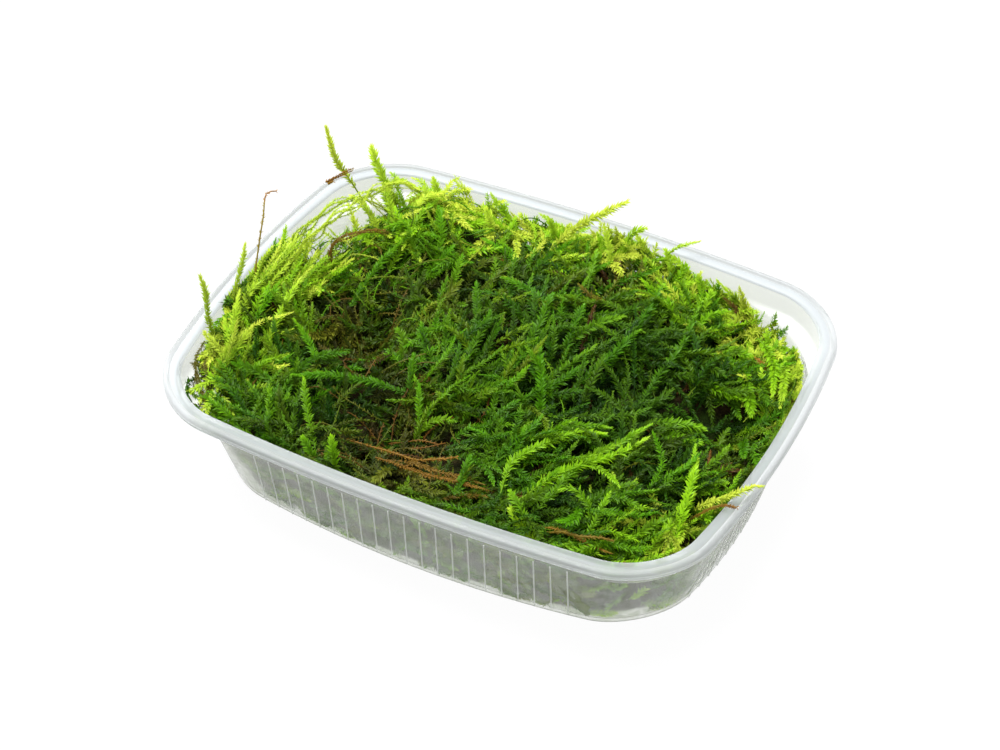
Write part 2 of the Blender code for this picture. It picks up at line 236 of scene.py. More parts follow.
def plastic_material(name, clear, colour, rough, damp=None):
    """Thin milky plastic, a little uneven where it set in the mould. Lamps shine through it.

    Low down, where moss wets it from inside, it is blotched with a second colour.
    """
    mat, tree = new_material(name)
    place = tree.node("ShaderNodeTexCoord", (), "Object")
    uneven = tree.node("ShaderNodeTexNoise", {"Vector": place, "Scale": 60.0})
    bump = tree.node("ShaderNodeBump", {
        "Height": uneven, "Distance": 0.0004, "Strength": 0.25})
    if damp:
        blotches = tree.node("ShaderNodeTexNoise", {
            "Vector": place, "Scale": 190.0, "Detail": 5.0, "Roughness": 0.7,
            "Distortion": 1.0})
        high = tree.node("ShaderNodeSeparateXYZ", [place], "Z")
        share = from_to(tree, high, 0.024, 0.021) * from_to(tree, blotches, 0.44, 0.6)
        colour = mix_colours(tree, share, colour, damp)
    milky = tree.node("ShaderNodeBsdfPrincipled", {
        "Base Color": colour, "Roughness": rough * (0.8 + 0.4 * uneven),
        "Transmission Weight": clear, "IOR": 1.12, "Normal": bump,
        "Coat Weight": 0.08, "Coat Roughness": 0.15})
    open_way = tree.node("ShaderNodeBsdfTransparent", {"Color": (0.93, 0.94, 0.94)})
    for ray in ("Is Diffuse Ray", "Is Shadow Ray"):
        light_ray = tree.node("ShaderNodeLightPath", (), ray)
        milky = tree.node("ShaderNodeMixShader", [light_ray, milky, open_way])
    finish_material(tree, milky)
    return mat


def water_material():
    mat, tree = new_material("water")
    finish_material(tree, tree.node("ShaderNodeBsdfPrincipled", {
        "Base Color": (1.0, 1.0, 1.0), "Roughness": 0.02, "Transmission Weight": 1.0,
        "IOR": 1.33}))
    return mat


def add_object(mesh, *finishes):
    """Object at the origin with a mesh and its name, in these materials."""
    obj = bpy.data.objects.new(mesh.name, mesh)
    bpy.context.scene.collection.objects.link(obj)
    for finish in finishes:
        mesh.materials.append(finish)
    return obj


def smooth_mesh(name, shape):
    """Smooth mesh from a bmesh, which is used up."""
    mesh = bpy.data.meshes.new(name)
    shape.to_mesh(mesh)
    shape.free()
    mesh.shade_smooth()
    return mesh


def closed_skin(name, rows, finish=lambda k: 0):
    """Mesh over rings of points, closed at both ends, with a finish for each stretch."""
    skin = bmesh.new()
    rings = [[skin.verts.new(p) for p in row] for row in rows]
    for k, (low, high) in enumerate(zip(rings, rings[1:])):
        for i in range(len(low)):
            j = (i + 1) % len(low)
            skin.faces.new((low[i], low[j], high[j], high[i])).material_index = finish(k)
    skin.faces.new(list(reversed(rings[0])))
    skin.faces.new(rings[-1])
    bmesh.ops.recalc_face_normals(skin, faces=skin.faces)
    return smooth_mesh(name, skin)


class Outline:
    """Rounded rectangle whose sides bow outwards; length and width are overall."""

    def __init__(self, length, width, corner, bow_x, bow_y):
        self.half_x = length / 2 - bow_x
        self.half_y = width / 2 - bow_y
        self.corner = corner
        self.bow_x = bow_x
        self.bow_y = bow_y

    def ring(self, inset, z, steps):
        """Points anticlockwise, starting where the +X side meets its +Y corner."""
        half_x, half_y = self.half_x - inset, self.half_y - inset
        corner = self.corner - inset
        arc_steps, long_steps, short_steps = steps
        centres = [Vector((x * (half_x - corner), y * (half_y - corner)))
                   for x, y in ((1, 1), (-1, 1), (-1, -1), (1, -1))]
        points = []
        for quarter, centre in enumerate(centres):
            for step in range(arc_steps + 1):
                angle = radians(90 * (quarter + step / arc_steps))
                points.append(centre + corner * Vector((cos(angle), sin(angle))))
            side = centres[(quarter + 1) % 4] - centre
            side_steps = short_steps if quarter % 2 else long_steps
            start = points[-1]
            for step in range(1, side_steps):
                points.append(start + side * step / side_steps)
        ring = []
        for p in points:
            across, along = p.x / half_x, p.y / half_y
            ring.append(Vector((p.x + self.bow_x * across * max(0.0, 1 - along * along),
                                p.y + self.bow_y * along * max(0.0, 1 - across * across), z)))
        return ring

    def side(self, place, outward):
        """Distance from the middle to the side that faces outward, at a place along it."""
        if outward.y:
            return self.half_y + self.bow_y * (1 - (place / self.half_x) ** 2)
        return self.half_x + self.bow_x * (1 - (place / self.half_y) ** 2)


RIM = Outline(RIM_LENGTH, RIM_WIDTH, RIM_CORNER, RIM_BOW_X, RIM_BOW_Y)
SHOULDER = Outline(RIM_LENGTH - 2 * SHOULDER_INSET, RIM_WIDTH - 2 * SHOULDER_INSET,
                   SHOULDER_CORNER, RIM_BOW_X, RIM_BOW_Y)
BASE = Outline(BASE_LENGTH, BASE_WIDTH, BASE_CORNER, BASE_BOW, BASE_BOW)

# Section of the shell: for each outline how far in from it and how high, in millimetres, up
# the outside, over the lip, the bead and the flange, and down the inside
TRAY_SECTION = (
    (BASE, (1.4, 0.0), (0.9, 0.08), (0.4, 0.36), (0.1, 0.8), (0.0, 1.2)),
    (SHOULDER, (0.05, 23.3), (-0.05, 23.6), (-0.15, 23.9)),
    (RIM, (3.55, 24.35), (3.42, 24.6), (3.36, 24.9), (3.04, 29.3), (2.95, 29.65), (2.7, 29.8),
     (1.2, 29.8), (0.95, 29.7), (0.85, 29.4), (0.8, 29.1), (0.7, 28.92), (0.4, 28.86),
     (0.12, 28.92), (0.0, 29.15), (0.02, 29.72), (0.14, 29.8), (0.14, 29.88), (0.04, 29.96),
     (0.05, 30.1), (0.17, 30.6), (0.4, 30.9), (0.7, 31.0), (1.0, 30.98), (1.25, 30.86),
     (1.4, 30.6), (1.52, 30.46), (1.66, 30.46), (1.78, 30.6), (3.5, 30.6), (3.75, 30.52),
     (3.92, 30.3), (3.98, 30.0), (4.06, 25.4), (4.1, 25.0), (4.25, 24.7)),
    (SHOULDER, (0.55, 24.25), (0.68, 23.9), (0.72, 23.4)),
    (BASE, (0.7, 1.9), (0.9, 1.3), (1.4, 0.88), (2.2, 0.7)),
)
# Steps round a ring, at a corner, a long side and a short side
TRAY_STEPS = (14, 22, 18)
# Last ring of each stretch of the section, and which finish its faces have
RING_FINISH = ((3, 3), (10, 0), (34, 2), (38, 1), (49, 0))


def make_tray(finishes):
    """The moulded shell, smooth but for its folded edges: wall, flange, then bead and lip."""
    rows = [outline.ring(inset * MM, z * MM, TRAY_STEPS)
            for outline, *places in TRAY_SECTION for inset, z in places]
    mesh = closed_skin("moulded_tray", rows,
                       lambda k: next(i for last, i in RING_FINISH if k <= last))
    mesh.set_sharp_from_angle(angle=radians(50))
    return add_object(mesh, *finishes)


def line_mesh(name, lines, fields=()):
    """Mesh of separate lines. Each line is a list of rows: its point, then its fields."""
    mesh = bpy.data.meshes.new(name)
    rows = [row for line in lines for row in line]
    edges, start = [], 0
    for line in lines:
        edges += [(i, i + 1) for i in range(start, start + len(line) - 1)]
        start += len(line)
    mesh.from_pydata([row[0] for row in rows], edges, [])
    for k, (field, kind) in enumerate(fields, 1):
        attribute = mesh.attributes.new(field, kind, "POINT")
        if kind == "FLOAT":
            attribute.data.foreach_set("value", [row[k] for row in rows])
        else:
            attribute.data.foreach_set("vector", [c for row in rows for c in row[k]])
    return mesh


def run_tree(name, mesh, group, values):
    """Run a Geometry Nodes group on a mesh and keep the result as a plain object."""
    guide = add_object(mesh)
    modifier = guide.modifiers.new(name, "NODES")
    modifier.node_group = group
    for item in group.interface.items_tree:
        if item.item_type == "SOCKET" and item.name in values:
            modifier[item.identifier] = values[item.name]
    evaluated = guide.evaluated_get(bpy.context.evaluated_depsgraph_get())
    result = bpy.data.meshes.new_from_object(evaluated)
    result.name = name
    bpy.data.objects.remove(guide)
    return add_object(result)


def new_group(name, sockets):
    """Geometry Nodes group whose inputs are named; returns it, its tree and its inputs."""
    group = bpy.data.node_groups.new(name, "GeometryNodeTree")
    group.interface.new_socket("Geometry", in_out="OUTPUT", socket_type="NodeSocketGeometry")
    group.interface.new_socket("Guides", in_out="INPUT", socket_type="NodeSocketGeometry")
    for socket, kind in sockets:
        group.interface.new_socket(socket, in_out="INPUT", socket_type="NodeSocket" + kind)
    tree = Tree(group)
    entry = group.nodes.new("NodeGroupInput")
    return group, tree, {s.name: Link(tree, s) for s in entry.outputs if s.name}


def finish_group(tree, geometry, finish):
    """Give the geometry its material and make it the group's result."""
    done = tree.node("GeometryNodeSetMaterial", {"Geometry": geometry, "Material": finish})
    tree.node("NodeGroupOutput", {"Geometry": done})


def rib_group():
    """Moulded ribs: a half-round bar along each guide line."""
    group, tree, given = new_group("wall ribs", [
        ("Rib radius", "Float"), ("Rib sides", "Int"), ("Finish", "Material")])
    lines = tree.node("GeometryNodeMeshToCurve", {"Mesh": given["Guides"]})
    profile = tree.node("GeometryNodeCurvePrimitiveCircle", {
        "Resolution": given["Rib sides"], "Radius": given["Rib radius"]})
    bars = tree.node("GeometryNodeCurveToMesh", {
        "Curve": lines, "Profile Curve": profile, "Fill Caps": True})
    real = tree.node("GeometryNodeRealizeInstances", {"Geometry": bars})
    finish_group(tree, real, given["Finish"])
    return group


def make_ribs(plastic):
    """Ribs on all four sides, from the foot to under the flange."""
    lines = []
    x_axis, y_axis = Vector((1, 0, 0)), Vector((0, 1, 0))
    for sign in (-1, 1):
        for count, outward, along in ((RIBS_LONG_SIDE, y_axis * sign, x_axis),
                                      (RIBS_SHORT_SIDE, x_axis * sign, y_axis)):
            for i in range(count):
                place = (i - (count - 1) / 2) * RIB_PITCH
                line = []
                for outline, inset, z, lean in ((BASE, 0.1, 1.0, -1.2),
                                                (SHOULDER, 0.1, 23.5, 2.1)):
                    reach = outline.side(place, outward) - inset * MM
                    shift = lean * MM * (outward.x + (-outward.y if along.x else 0.0))
                    line.append([outward * reach + along * (place + shift)
                                 + Vector((0, 0, z * MM))])
                lines.append(line)
    return run_tree("wall_ribs", line_mesh("rib_guides", lines), rib_group(), {
        "Rib radius": 0.00018, "Rib sides": 8, "Finish": plastic})


# Mounds and hollows of the moss, as in the solid: middle x, y, spread and rise in millimetres
MOUNDS = (
    (-36, 28, 15, 8.5), (-60, -12, 10, 6), (0, 8, 26, 6), (25, 18, 18, 3), (40, -30, 18, 3),
    (-60, 40, 12, -9), (-34, -6, 8, -7), (52, 8, 9, -7), (-12, -29, 12, -4), (45, 42, 20, -4),
    (66, 10, 14, -3),
)
MOSS_LEVEL = 0.027


def mounded(height, table, x, y):
    """A height over one place, changed by round mounds and hollows."""
    for middle_x, middle_y, spread, rise in table:
        away = hypot(x / MM - middle_x, y / MM - middle_y) / spread
        height += rise * MM * exp(-away * away)
    return height


def moss_height(x, y):
    """Height of the tips of the shoots over one place of the tray."""
    height = mounded(MOSS_LEVEL, MOUNDS, x, y)
    height += 0.0016 * noise.noise(Vector((x / 0.011, y / 0.011, 0.3)))
    height += 0.0009 * noise.noise(Vector((x / 0.005, y / 0.005, 0.7)))
    return height


# Directions from the tray's middle in which the distance to the inside of its wall is kept
DIRECTIONS = 180
# How far in from the rim's outline the wall above the shoulder stands
COLLAR_INSET = 0.0041


def reach_table(outline, inset):
    """Distance from the middle to an outline for evenly spaced directions."""
    ring = sorted((atan2(p.y, p.x), p.length) for p in outline.ring(inset, 0.0, (10, 20, 16)))
    ring = [(ring[-1][0] - tau, ring[-1][1])] + ring + [(ring[0][0] + tau, ring[0][1])]
    table, k = [], 0
    for i in range(DIRECTIONS):
        angle = -pi + tau * i / DIRECTIONS
        while ring[k + 1][0] < angle:
            k += 1
        share = (angle - ring[k][0]) / (ring[k + 1][0] - ring[k][0])
        table.append(ring[k][1] + share * (ring[k + 1][1] - ring[k][1]))
    return table


REACH_LOW = reach_table(BASE, WALL)
REACH_HIGH = reach_table(SHOULDER, WALL)
REACH_COLLAR = reach_table(RIM, COLLAR_INSET)


def wall_reach(x, y, z):
    """Distance from the tray's middle to the inside of its wall, through one place."""
    turn = (atan2(y, x) + pi) / tau * DIRECTIONS
    i = int(turn) % DIRECTIONS
    share = turn - int(turn)
    j = (i + 1) % DIRECTIONS

    def at(table):
        return table[i] + share * (table[j] - table[i])

    if z < SHOULDER_Z:
        return at(REACH_LOW) + (at(REACH_HIGH) - at(REACH_LOW)) * max(0.0, z / SHOULDER_Z)
    return at(REACH_HIGH) + (at(REACH_COLLAR) - at(REACH_HIGH)) * min(1.0, (z - SHOULDER_Z) / MM)


def keep_inside(p, margin, below_ledge=False):
    """Move a place in from the wall where it is nearer than the margin."""
    reach = wall_reach(p.x, p.y, min(p.z, SHOULDER_Z) if below_ledge else p.z) - margin
    flat = hypot(p.x, p.y)
    if flat > reach:
        p.x *= reach / flat
        p.y *= reach / flat
    return p


# How the moss lies, place by place: x and y in millimetres, heading of the shoots in degrees
# from +X, how far their tips rise and how long they are in millimetres, kind of colour,
# painted light and shade, and how much the headings scatter in degrees
LIE = (
    (-63, -22, 92, 5, 18, 0.96, 1.00, 22),
    (-56, -34, 95, 4, 18, 0.93, 0.88, 25),
    (-62, -2, 90, 6, 16, 0.92, 1.00, 20),
    (-60, 9, 92, 5, 12, 0.94, 1.00, 25),
    (-56, 18, 60, 2, 13, 0.60, 0.70, 90),
    (-57, 28, 70, 4, 13, 0.94, 1.00, 70),
    (-46, 34, 80, 4, 14, 1.02, 1.15, 70),
    (-40, 22, 60, 3, 13, 0.58, 1.00, 90),
    (-32, 28, 70, 3, 13, 0.90, 1.10, 70),
    (-28, 40, 85, 4, 12, 1.02, 1.20, 60),
    (-15, 36, 80, 3, 12, 0.98, 1.15, 60),
    (0, 44, 85, 5, 12, 1.00, 1.20, 45),
    (18, 44, 95, 5, 13, 0.97, 1.15, 40),
    (34, 41, 100, 4, 13, 0.94, 1.05, 40),
    (50, 38, 80, 3, 12, 0.96, 1.05, 60),
    (-46, 10, 100, 2, 14, 0.50, 0.66, 60),
    (-40, 4, 190, 1, 16, 0.38, 0.30, 50),
    (-33, -6, 150, 0, 14, 0.34, 0.15, 90),
    (-50, -12, 195, 1, 20, 0.72, 0.62, 25),
    (-46, -34, 125, 3, 16, 0.68, 0.47, 30),
    (-30, -34, 118, 3, 18, 0.72, 0.54, 30),
    (-15, -30, 10, 1, 16, 0.28, 0.34, 60),
    (-6, -25, 95, 3, 16, 0.74, 0.58, 35),
    (4, -18, 85, 3, 18, 0.68, 0.60, 30),
    (-5, -39, 10, 1, 14, 0.32, 0.34, 60),
    (-8, -12, 105, 4, 18, 0.70, 0.66, 25),
    (-22, 4, 140, 2, 16, 0.56, 0.46, 45),
    (-18, 18, 110, 3, 16, 0.58, 0.52, 45),
    (2, 4, 88, 4, 20, 0.70, 0.58, 20),
    (4, 26, 86, 3, 20, 0.70, 0.54, 20),
    (14, 32, 150, 1, 12, 0.28, 0.36, 80),
    (24, 6, 80, 4, 26, 0.76, 0.26, 18),
    (34, -5, 70, 2, 20, 0.74, 0.18, 25),
    (26, 27, 84, 3, 22, 0.78, 0.42, 18),
    (40, 12, 78, 3, 22, 0.76, 0.32, 24),
    (38, 30, 88, 3, 18, 0.80, 0.62, 30),
    (52, 8, 320, 0, 12, 0.56, 0.72, 60),
    (62, 16, 100, 2, 12, 0.92, 1.05, 60),
    (58, 30, 110, 2, 12, 0.92, 1.05, 60),
    (60, -8, 90, 1, 12, 0.48, 0.46, 50),
    (10, -28, 50, 3, 22, 0.74, 0.62, 20),
    (26, -22, 48, 3, 24, 0.76, 0.36, 20),
    (28, -36, 60, 4, 22, 0.80, 0.38, 20),
    (44, -14, 30, 2, 18, 0.68, 0.20, 30),
    (44, -28, 75, 5, 20, 0.76, 0.14, 22),
    (56, -22, 60, 3, 14, 0.86, 0.72, 40),
    (58, -30, 50, 4, 14, 0.95, 0.95, 40),
    (12, -44, 30, 2, 16, 0.62, 0.58, 40),
    (-20, -45, 60, 2, 14, 0.60, 0.38, 50),
    (30, -48, 15, 3, 14, 0.74, 0.60, 40),
    (44, -45, 20, 3, 14, 0.84, 0.85, 40),
)


def lie_at(x, y):
    """The table's rows blended by nearness at a place in millimetres."""
    total, along_x, along_y = 0.0, 0.0, 0.0
    sums = [0.0] * 5
    for row_x, row_y, heading, *values in LIE:
        weight = 1 / ((x - row_x) ** 2 + (y - row_y) ** 2 + 12) ** 1.7
        total += weight
        along_x += weight * cos(radians(heading))
        along_y += weight * sin(radians(heading))
        for k, value in enumerate(values):
            sums[k] += weight * value
    return (atan2(along_y, along_x), *(s / total for s in sums))


# One row of a guide line after its point: which way its upper face looks, kind of colour,
# painted light and shade, leaf size, how far the leaves spread, share of leaves kept, and stem
# radius
GUIDE_FIELDS = (("face", "FLOAT_VECTOR"), ("kind", "FLOAT"), ("light", "FLOAT"),
                ("leaf_size", "FLOAT"), ("spread", "FLOAT"), ("leafy", "FLOAT"),
                ("stem", "FLOAT"))


def leaf_mesh():
    """One leaf, a unit long: narrow, pointed and folded along its midrib."""
    points = [(0, 0, 0), (-0.15, 0.4, 0.06), (0.15, 0.4, 0.06), (0, 1, -0.04)]
    mesh = bpy.data.meshes.new("leaf")
    mesh.from_pydata(points, [], [(0, 3, 1), (0, 2, 3)])
    for field, values in (("along", [p[1] for p in points]), ("across", [0, -1, 1, 0.2])):
        mesh.attributes.new(field, "FLOAT", "POINT").data.foreach_set("value", values)
    return mesh


def shoot_group():
    """Leafy shoots along guide lines: a thin stem, and leaves round it in a flattened spray."""
    group, tree, given = new_group("leafy shoots", [
        ("Leaf", "Object"), ("Leaf spacing", "Float"), ("Leaf length", "Float"),
        ("Flatness", "Float"), ("Stem sides", "Int"), ("Seed", "Int"), ("Finish", "Material")])

    def named(field, kind="FLOAT"):
        return tree.node("GeometryNodeInputNamedAttribute", {"Name": field}, data_type=kind)

    def stored(geometry, field, value, kind="FLOAT", domain="POINT"):
        return tree.node("GeometryNodeStoreNamedAttribute", {
            "Geometry": geometry, "Name": field, "Value": value}, data_type=kind, domain=domain)

    def chance(low, high, number):
        return tree.node("FunctionNodeRandomValue", {
            "Min": low, "Max": high, "Seed": given["Seed"] + number}, data_type="FLOAT")

    lines = tree.node("GeometryNodeMeshToCurve", {"Mesh": given["Guides"]})
    places = tree.node("GeometryNodeResampleCurve", {
        "Curve": lines, "Length": given["Leaf spacing"]}, mode="LENGTH")
    ahead = tree.node("GeometryNodeInputTangent")
    side = ahead.cross(named("face", "FLOAT_VECTOR")).unit()
    upper = side.cross(ahead).unit()
    index = tree.node("GeometryNodeInputIndex")
    around = index * 2.4 + chance(-0.35, 0.35, 1)
    spread = named("spread") * chance(0.75, 1.25, 2)
    outward = side * around.of("COSINE") + upper * (around.of("SINE") * (1 - given["Flatness"]))
    toward = ahead * spread.of("COSINE") + outward.unit() * spread.of("SINE")
    turned = tree.node("FunctionNodeAxesToRotation", {
        "Primary Axis": toward.unit(),
        "Secondary Axis": upper + ahead * chance(0.1, 0.9, 3) + side * chance(-0.5, 0.5, 4)},
        primary_axis="Y", secondary_axis="Z")
    size = named("leaf_size") * given["Leaf length"] * chance(0.75, 1.2, 5)
    leaf = tree.node("GeometryNodeObjectInfo", {"Object": given["Leaf"]}, "Geometry")
    leaves = tree.node("GeometryNodeInstanceOnPoints", {
        "Points": places, "Selection": chance(0.0, 1.0, 6) < named("leafy"),
        "Instance": leaf, "Rotation": turned, "Scale": size})
    tinted = stored(leaves, "tint", chance(-0.3, 0.3, 7), domain="INSTANCE")
    real = tree.node("GeometryNodeRealizeInstances", {"Geometry": tinted})

    profile = tree.node("GeometryNodeCurvePrimitiveCircle", {
        "Resolution": given["Stem sides"], "Radius": 1.0})
    striped = stored(profile, "across", index % 2 * 2 - 1)
    stems = tree.node("GeometryNodeCurveToMesh", {
        "Curve": lines, "Profile Curve": striped, "Scale": named("stem"), "Fill Caps": True})
    both = tree.node("GeometryNodeJoinGeometry", {"Geometry": [real, stems]})

    # Painted light: each leaf darkens towards its foot as painted shade, and stems take the dark
    # end unless their painted light is high; the tint is a random tone per leaf.
    light = named("light") * (0.34 + 0.66 * named("along").join(
        "MAXIMUM", named("light") - 0.35)) * (1 + named("tint"))
    leaf_map = tree.node("ShaderNodeCombineXYZ", {
        "X": light.kept(0.01, 0.99),
        "Y": (named("kind") + 0.01 * named("across")).kept(0.01, 0.99)})
    mapped = stored(both, "OFBake", leaf_map, "FLOAT2", "CORNER")
    smooth = tree.node("GeometryNodeSetShadeSmooth", {"Geometry": mapped})
    finish_group(tree, smooth, given["Finish"])
    return group


def smooth_path(route, spacing):
    """Points about one spacing apart on a smooth curve along a route in millimetres."""
    points = [Vector((*p, 0)[:3]) * MM for p in route]
    row = [points[0] * 2 - points[1]] + points + [points[-1] * 2 - points[-2]]
    path = []
    for i in range(1, len(row) - 2):
        before, a, b, after = row[i - 1:i + 3]
        steps = max(1, round((b - a).length / spacing))
        for step in range(steps):
            t = step / steps
            path.append(0.5 * ((2 * a) + (b - before) * t
                               + (2 * before - 5 * a + 4 * b - after) * t ** 2
                               + (3 * a - before - 3 * b + after) * t ** 3))
    path.append(row[-2])
    return path


def shares(path):
    """Each point of a path after its share of the way along."""
    return [(i / (len(path) - 1), p) for i, p in enumerate(path)]


def leafy_line(path, face, kind, light, size=1.0, bare=0.0, stem=0.00016, tip_size=0.42):
    """Rows of a guide line for a leafy shoot, fresher and more closed towards its tip, with
    painted shade at its foot and a painted highlight at its tip.
    """
    line = []
    for share, p in shares(path):
        leafy = 0.0 if share < bare else min(1.0, 0.5 + 2 * (share - bare))
        swell = min(1.0, 0.6 + 1.6 * share) * min(1.0, tip_size + 2.6 * (1 - share))
        tip = max(0.0, (share - 0.75) / 0.25)
        # Painted shade towards the shoot's foot, less where its painted light is high, and a
        # painted highlight at its tip.
        foot = 0.5 + max(0.0, light - 0.6)
        shade = light * (foot + (1 - foot) * share + 0.25 * tip)
        line.append([p, face, kind + 0.05 * tip, shade, size * swell,
                     0.9 - 0.14 * share - 0.35 * tip, leafy, stem * (1.25 - 0.6 * share)])
    return line


def bare_line(path, face, kind, light, stem, leafy=0.2, hairs=0.32, tip_kind=None):
    """Rows of a guide line for a bare stem with short scales, and a tip that may differ."""
    line = []
    for share, p in shares(path):
        tone = kind if tip_kind is None or share < 0.78 else tip_kind
        line.append([p, face, tone, light, hairs, 0.75, leafy, stem * (1 - 0.35 * share)])
    return line


# Clear shoots and stems on the surface, as in the solid: widest radius, rise of the tip, kind
# of colour, painted light, then the route from root to tip, in millimetres
SURFACE_SHOOTS = (
    (0.6, 1, 0.50, 0.70, (-24, -9), (-25, 5), (-24, 10), (-34, 11), (-45, 8)),
    (0.6, 1, 0.62, 0.70, (-12, -13), (-13, -6), (-18, -1), (-24, 5)),
    (1.5, 2, 0.72, 0.72, (-14, -18), (-27, -21), (-39, -29)),
    (1.4, 2, 0.80, 0.68, (-37, -43), (-42, -34)),
    (1.4, 3, 0.80, 0.72, (-25, -43), (-31, -36), (-36, -29)),
    (0.6, 1, 0.66, 0.70, (-29, -20), (-37, -27), (-40, -31), (-36, -39), (-31, -43)),
    (0.7, 1, 0.17, 0.80, (-21, -36), (-12, -35), (-2, -37), (7, -35)),
    (1.5, 2, 0.72, 0.66, (-15, -9), (-20, -2)),
    (1.5, 2, 0.70, 0.66, (-14, -19), (-17, -11)),
    (1.7, 2, 0.70, 0.66, (5, -6), (6, 7), (4, 19)),
    (1.6, 2, 0.68, 0.62, (-5, -10), (-6, 6)),
    (1.6, 2, 0.70, 0.62, (-6, 0), (-15, 16)),
    (1.6, 2, 0.72, 0.64, (14, 4), (12, 19)),
    (1.7, 2, 0.74, 0.62, (25, 1), (25, 21), (23, 41)),
    (1.6, 2, 0.74, 0.62, (19, -7), (25, 7), (27, 18)),
    (1.6, 2, 0.76, 0.58, (35, 0), (36, 21), (33, 38)),
    (1.6, 2, 0.72, 0.64, (9, -19), (14, -8), (21, 2)),
    (1.6, 2, 0.78, 0.68, (17, -33), (19, -24), (25, -16), (34, -12)),
    (1.7, 3, 0.80, 0.72, (29, -42), (31, -35), (35, -21), (42, -8)),
    (1.5, 2, 0.76, 0.70, (24, -38), (30, -30)),
    (1.6, 3, 0.82, 0.68, (52, -40), (55, -33), (58, -23), (53, -8)),
    (1.6, 2, 0.80, 0.72, (31, -46), (23, -40)),
    (0.8, 1, 0.24, 0.80, (34, -44), (42, -44), (49, -42)),
    (0.8, 0, 0.10, 0.55, (60, -18), (55, -4)),
    (1.5, 2, 0.66, 0.62, (41, -5), (51, 1)),
    (1.5, 2, 0.60, 0.60, (45, 14), (54, 19)),
    (1.5, 2, 0.66, 0.62, (51, 27), (60, 17)),
    (1.5, 2, 0.78, 0.66, (57, 22), (54, 36)),
    (1.5, 2, 0.72, 0.64, (58, 8), (63, -4)),
    (1.5, 2, 0.84, 0.74, (-16, 28), (-19, 44)),
    (1.5, 2, 0.80, 0.70, (8, 29), (3, 44)),
    (1.5, 2, 0.80, 0.70, (32, 33), (34, 45)),
    (1.5, 2, 0.82, 0.70, (18, 36), (15, 46)),
    (1.6, 3, 0.92, 0.86, (-59, -24), (-61, -9), (-62, 7)),
    (1.6, 3, 0.92, 0.86, (-56, -35), (-59, -23), (-62, -14)),
    (1.6, 3, 0.90, 0.82, (-50, -26), (-52, -13), (-54, 0)),
    (1.6, 2, 0.86, 0.74, (-38, 14), (-36, 26), (-37, 38)),
    (1.5, 2, 0.76, 0.66, (-42, 2), (-40, 13), (-37, 19)),
    (1.5, 2, 0.70, 0.64, (11, -45), (10, -34)),
    (1.5, 2, 0.78, 0.64, (51, -33), (42, -28)),
)

# Leafy shoots that stand clear, as in the solid: the piece's name, the node it replaces, kind
# of colour, painted light, leaf size, share of bare foot, then the route in millimetres
STANDING = (
    ("leafy_left_rim", "shoot_left_rim", 0.93, 0.66, 0.76, 0.0,
     (-64.0, -23.3, 25), (-64.6, -23.4, 30), (-65.4, -22.9, 34), (-66.6, -21.1, 39),
     (-68.3, -20.4, 43)),
    ("leafy_left_tall", "shoot_left_tall", 0.93, 0.66, 0.72, 0.0,
     (-63.6, -16.0, 28), (-63.2, -15.0, 33), (-63.1, -13.6, 37), (-63.4, -9.6, 41),
     (-64.3, -6.8, 44)),
    ("leafy_far_tall", "shoot_far_tall", 0.96, 0.60, 0.85, 0.45,
     (-50.5, 29.0, 27), (-54.8, 30.8, 34), (-58.2, 30.4, 40), (-61.1, 29.9, 45),
     (-64.5, 32.0, 52)),
    ("leafy_far_upright", "shoot_far_upright", 0.92, 0.85, 1.15, 0.05,
     (-43.6, 31.9, 29), (-47.4, 33.0, 36), (-53.0, 36.2, 41), (-55.8, 38.3, 44.5)),
    ("leafy_back_feather", "shoot_back_feather", 0.98, 0.80, 1.05, 0.0,
     (-9.0, 40.5, 25), (-5.2, 42.7, 31.6), (-0.5, 45.6, 36), (3.7, 47.9, 39), (7.4, 51.2, 41)),
    ("leafy_back_hook", "shoot_back_hook", 0.90, 0.85, 0.95, 0.0,
     (9.8, 45.1, 24), (9.6, 45.9, 31), (10.8, 47.0, 35.4), (14.0, 48.0, 37.6)),
    ("leafy_back_arch", "shoot_back_arch", 0.92, 0.92, 0.55, 0.0,
     (18.2, 47.4, 22.6), (19.2, 48.2, 29), (21.2, 49.2, 33), (26.4, 52.4, 35)),
    ("leafy_over_rim", "shoot_over_rim", 0.98, 0.75, 0.8, 0.0,
     (58.0, -23.4, 25), (62.0, -23.0, 29.8), (66.0, -21.6, 32.2), (69.0, -18.6, 33.0),
     (70.6, -16.0, 33.0), (71.9, -14.6, 32.2)),
)
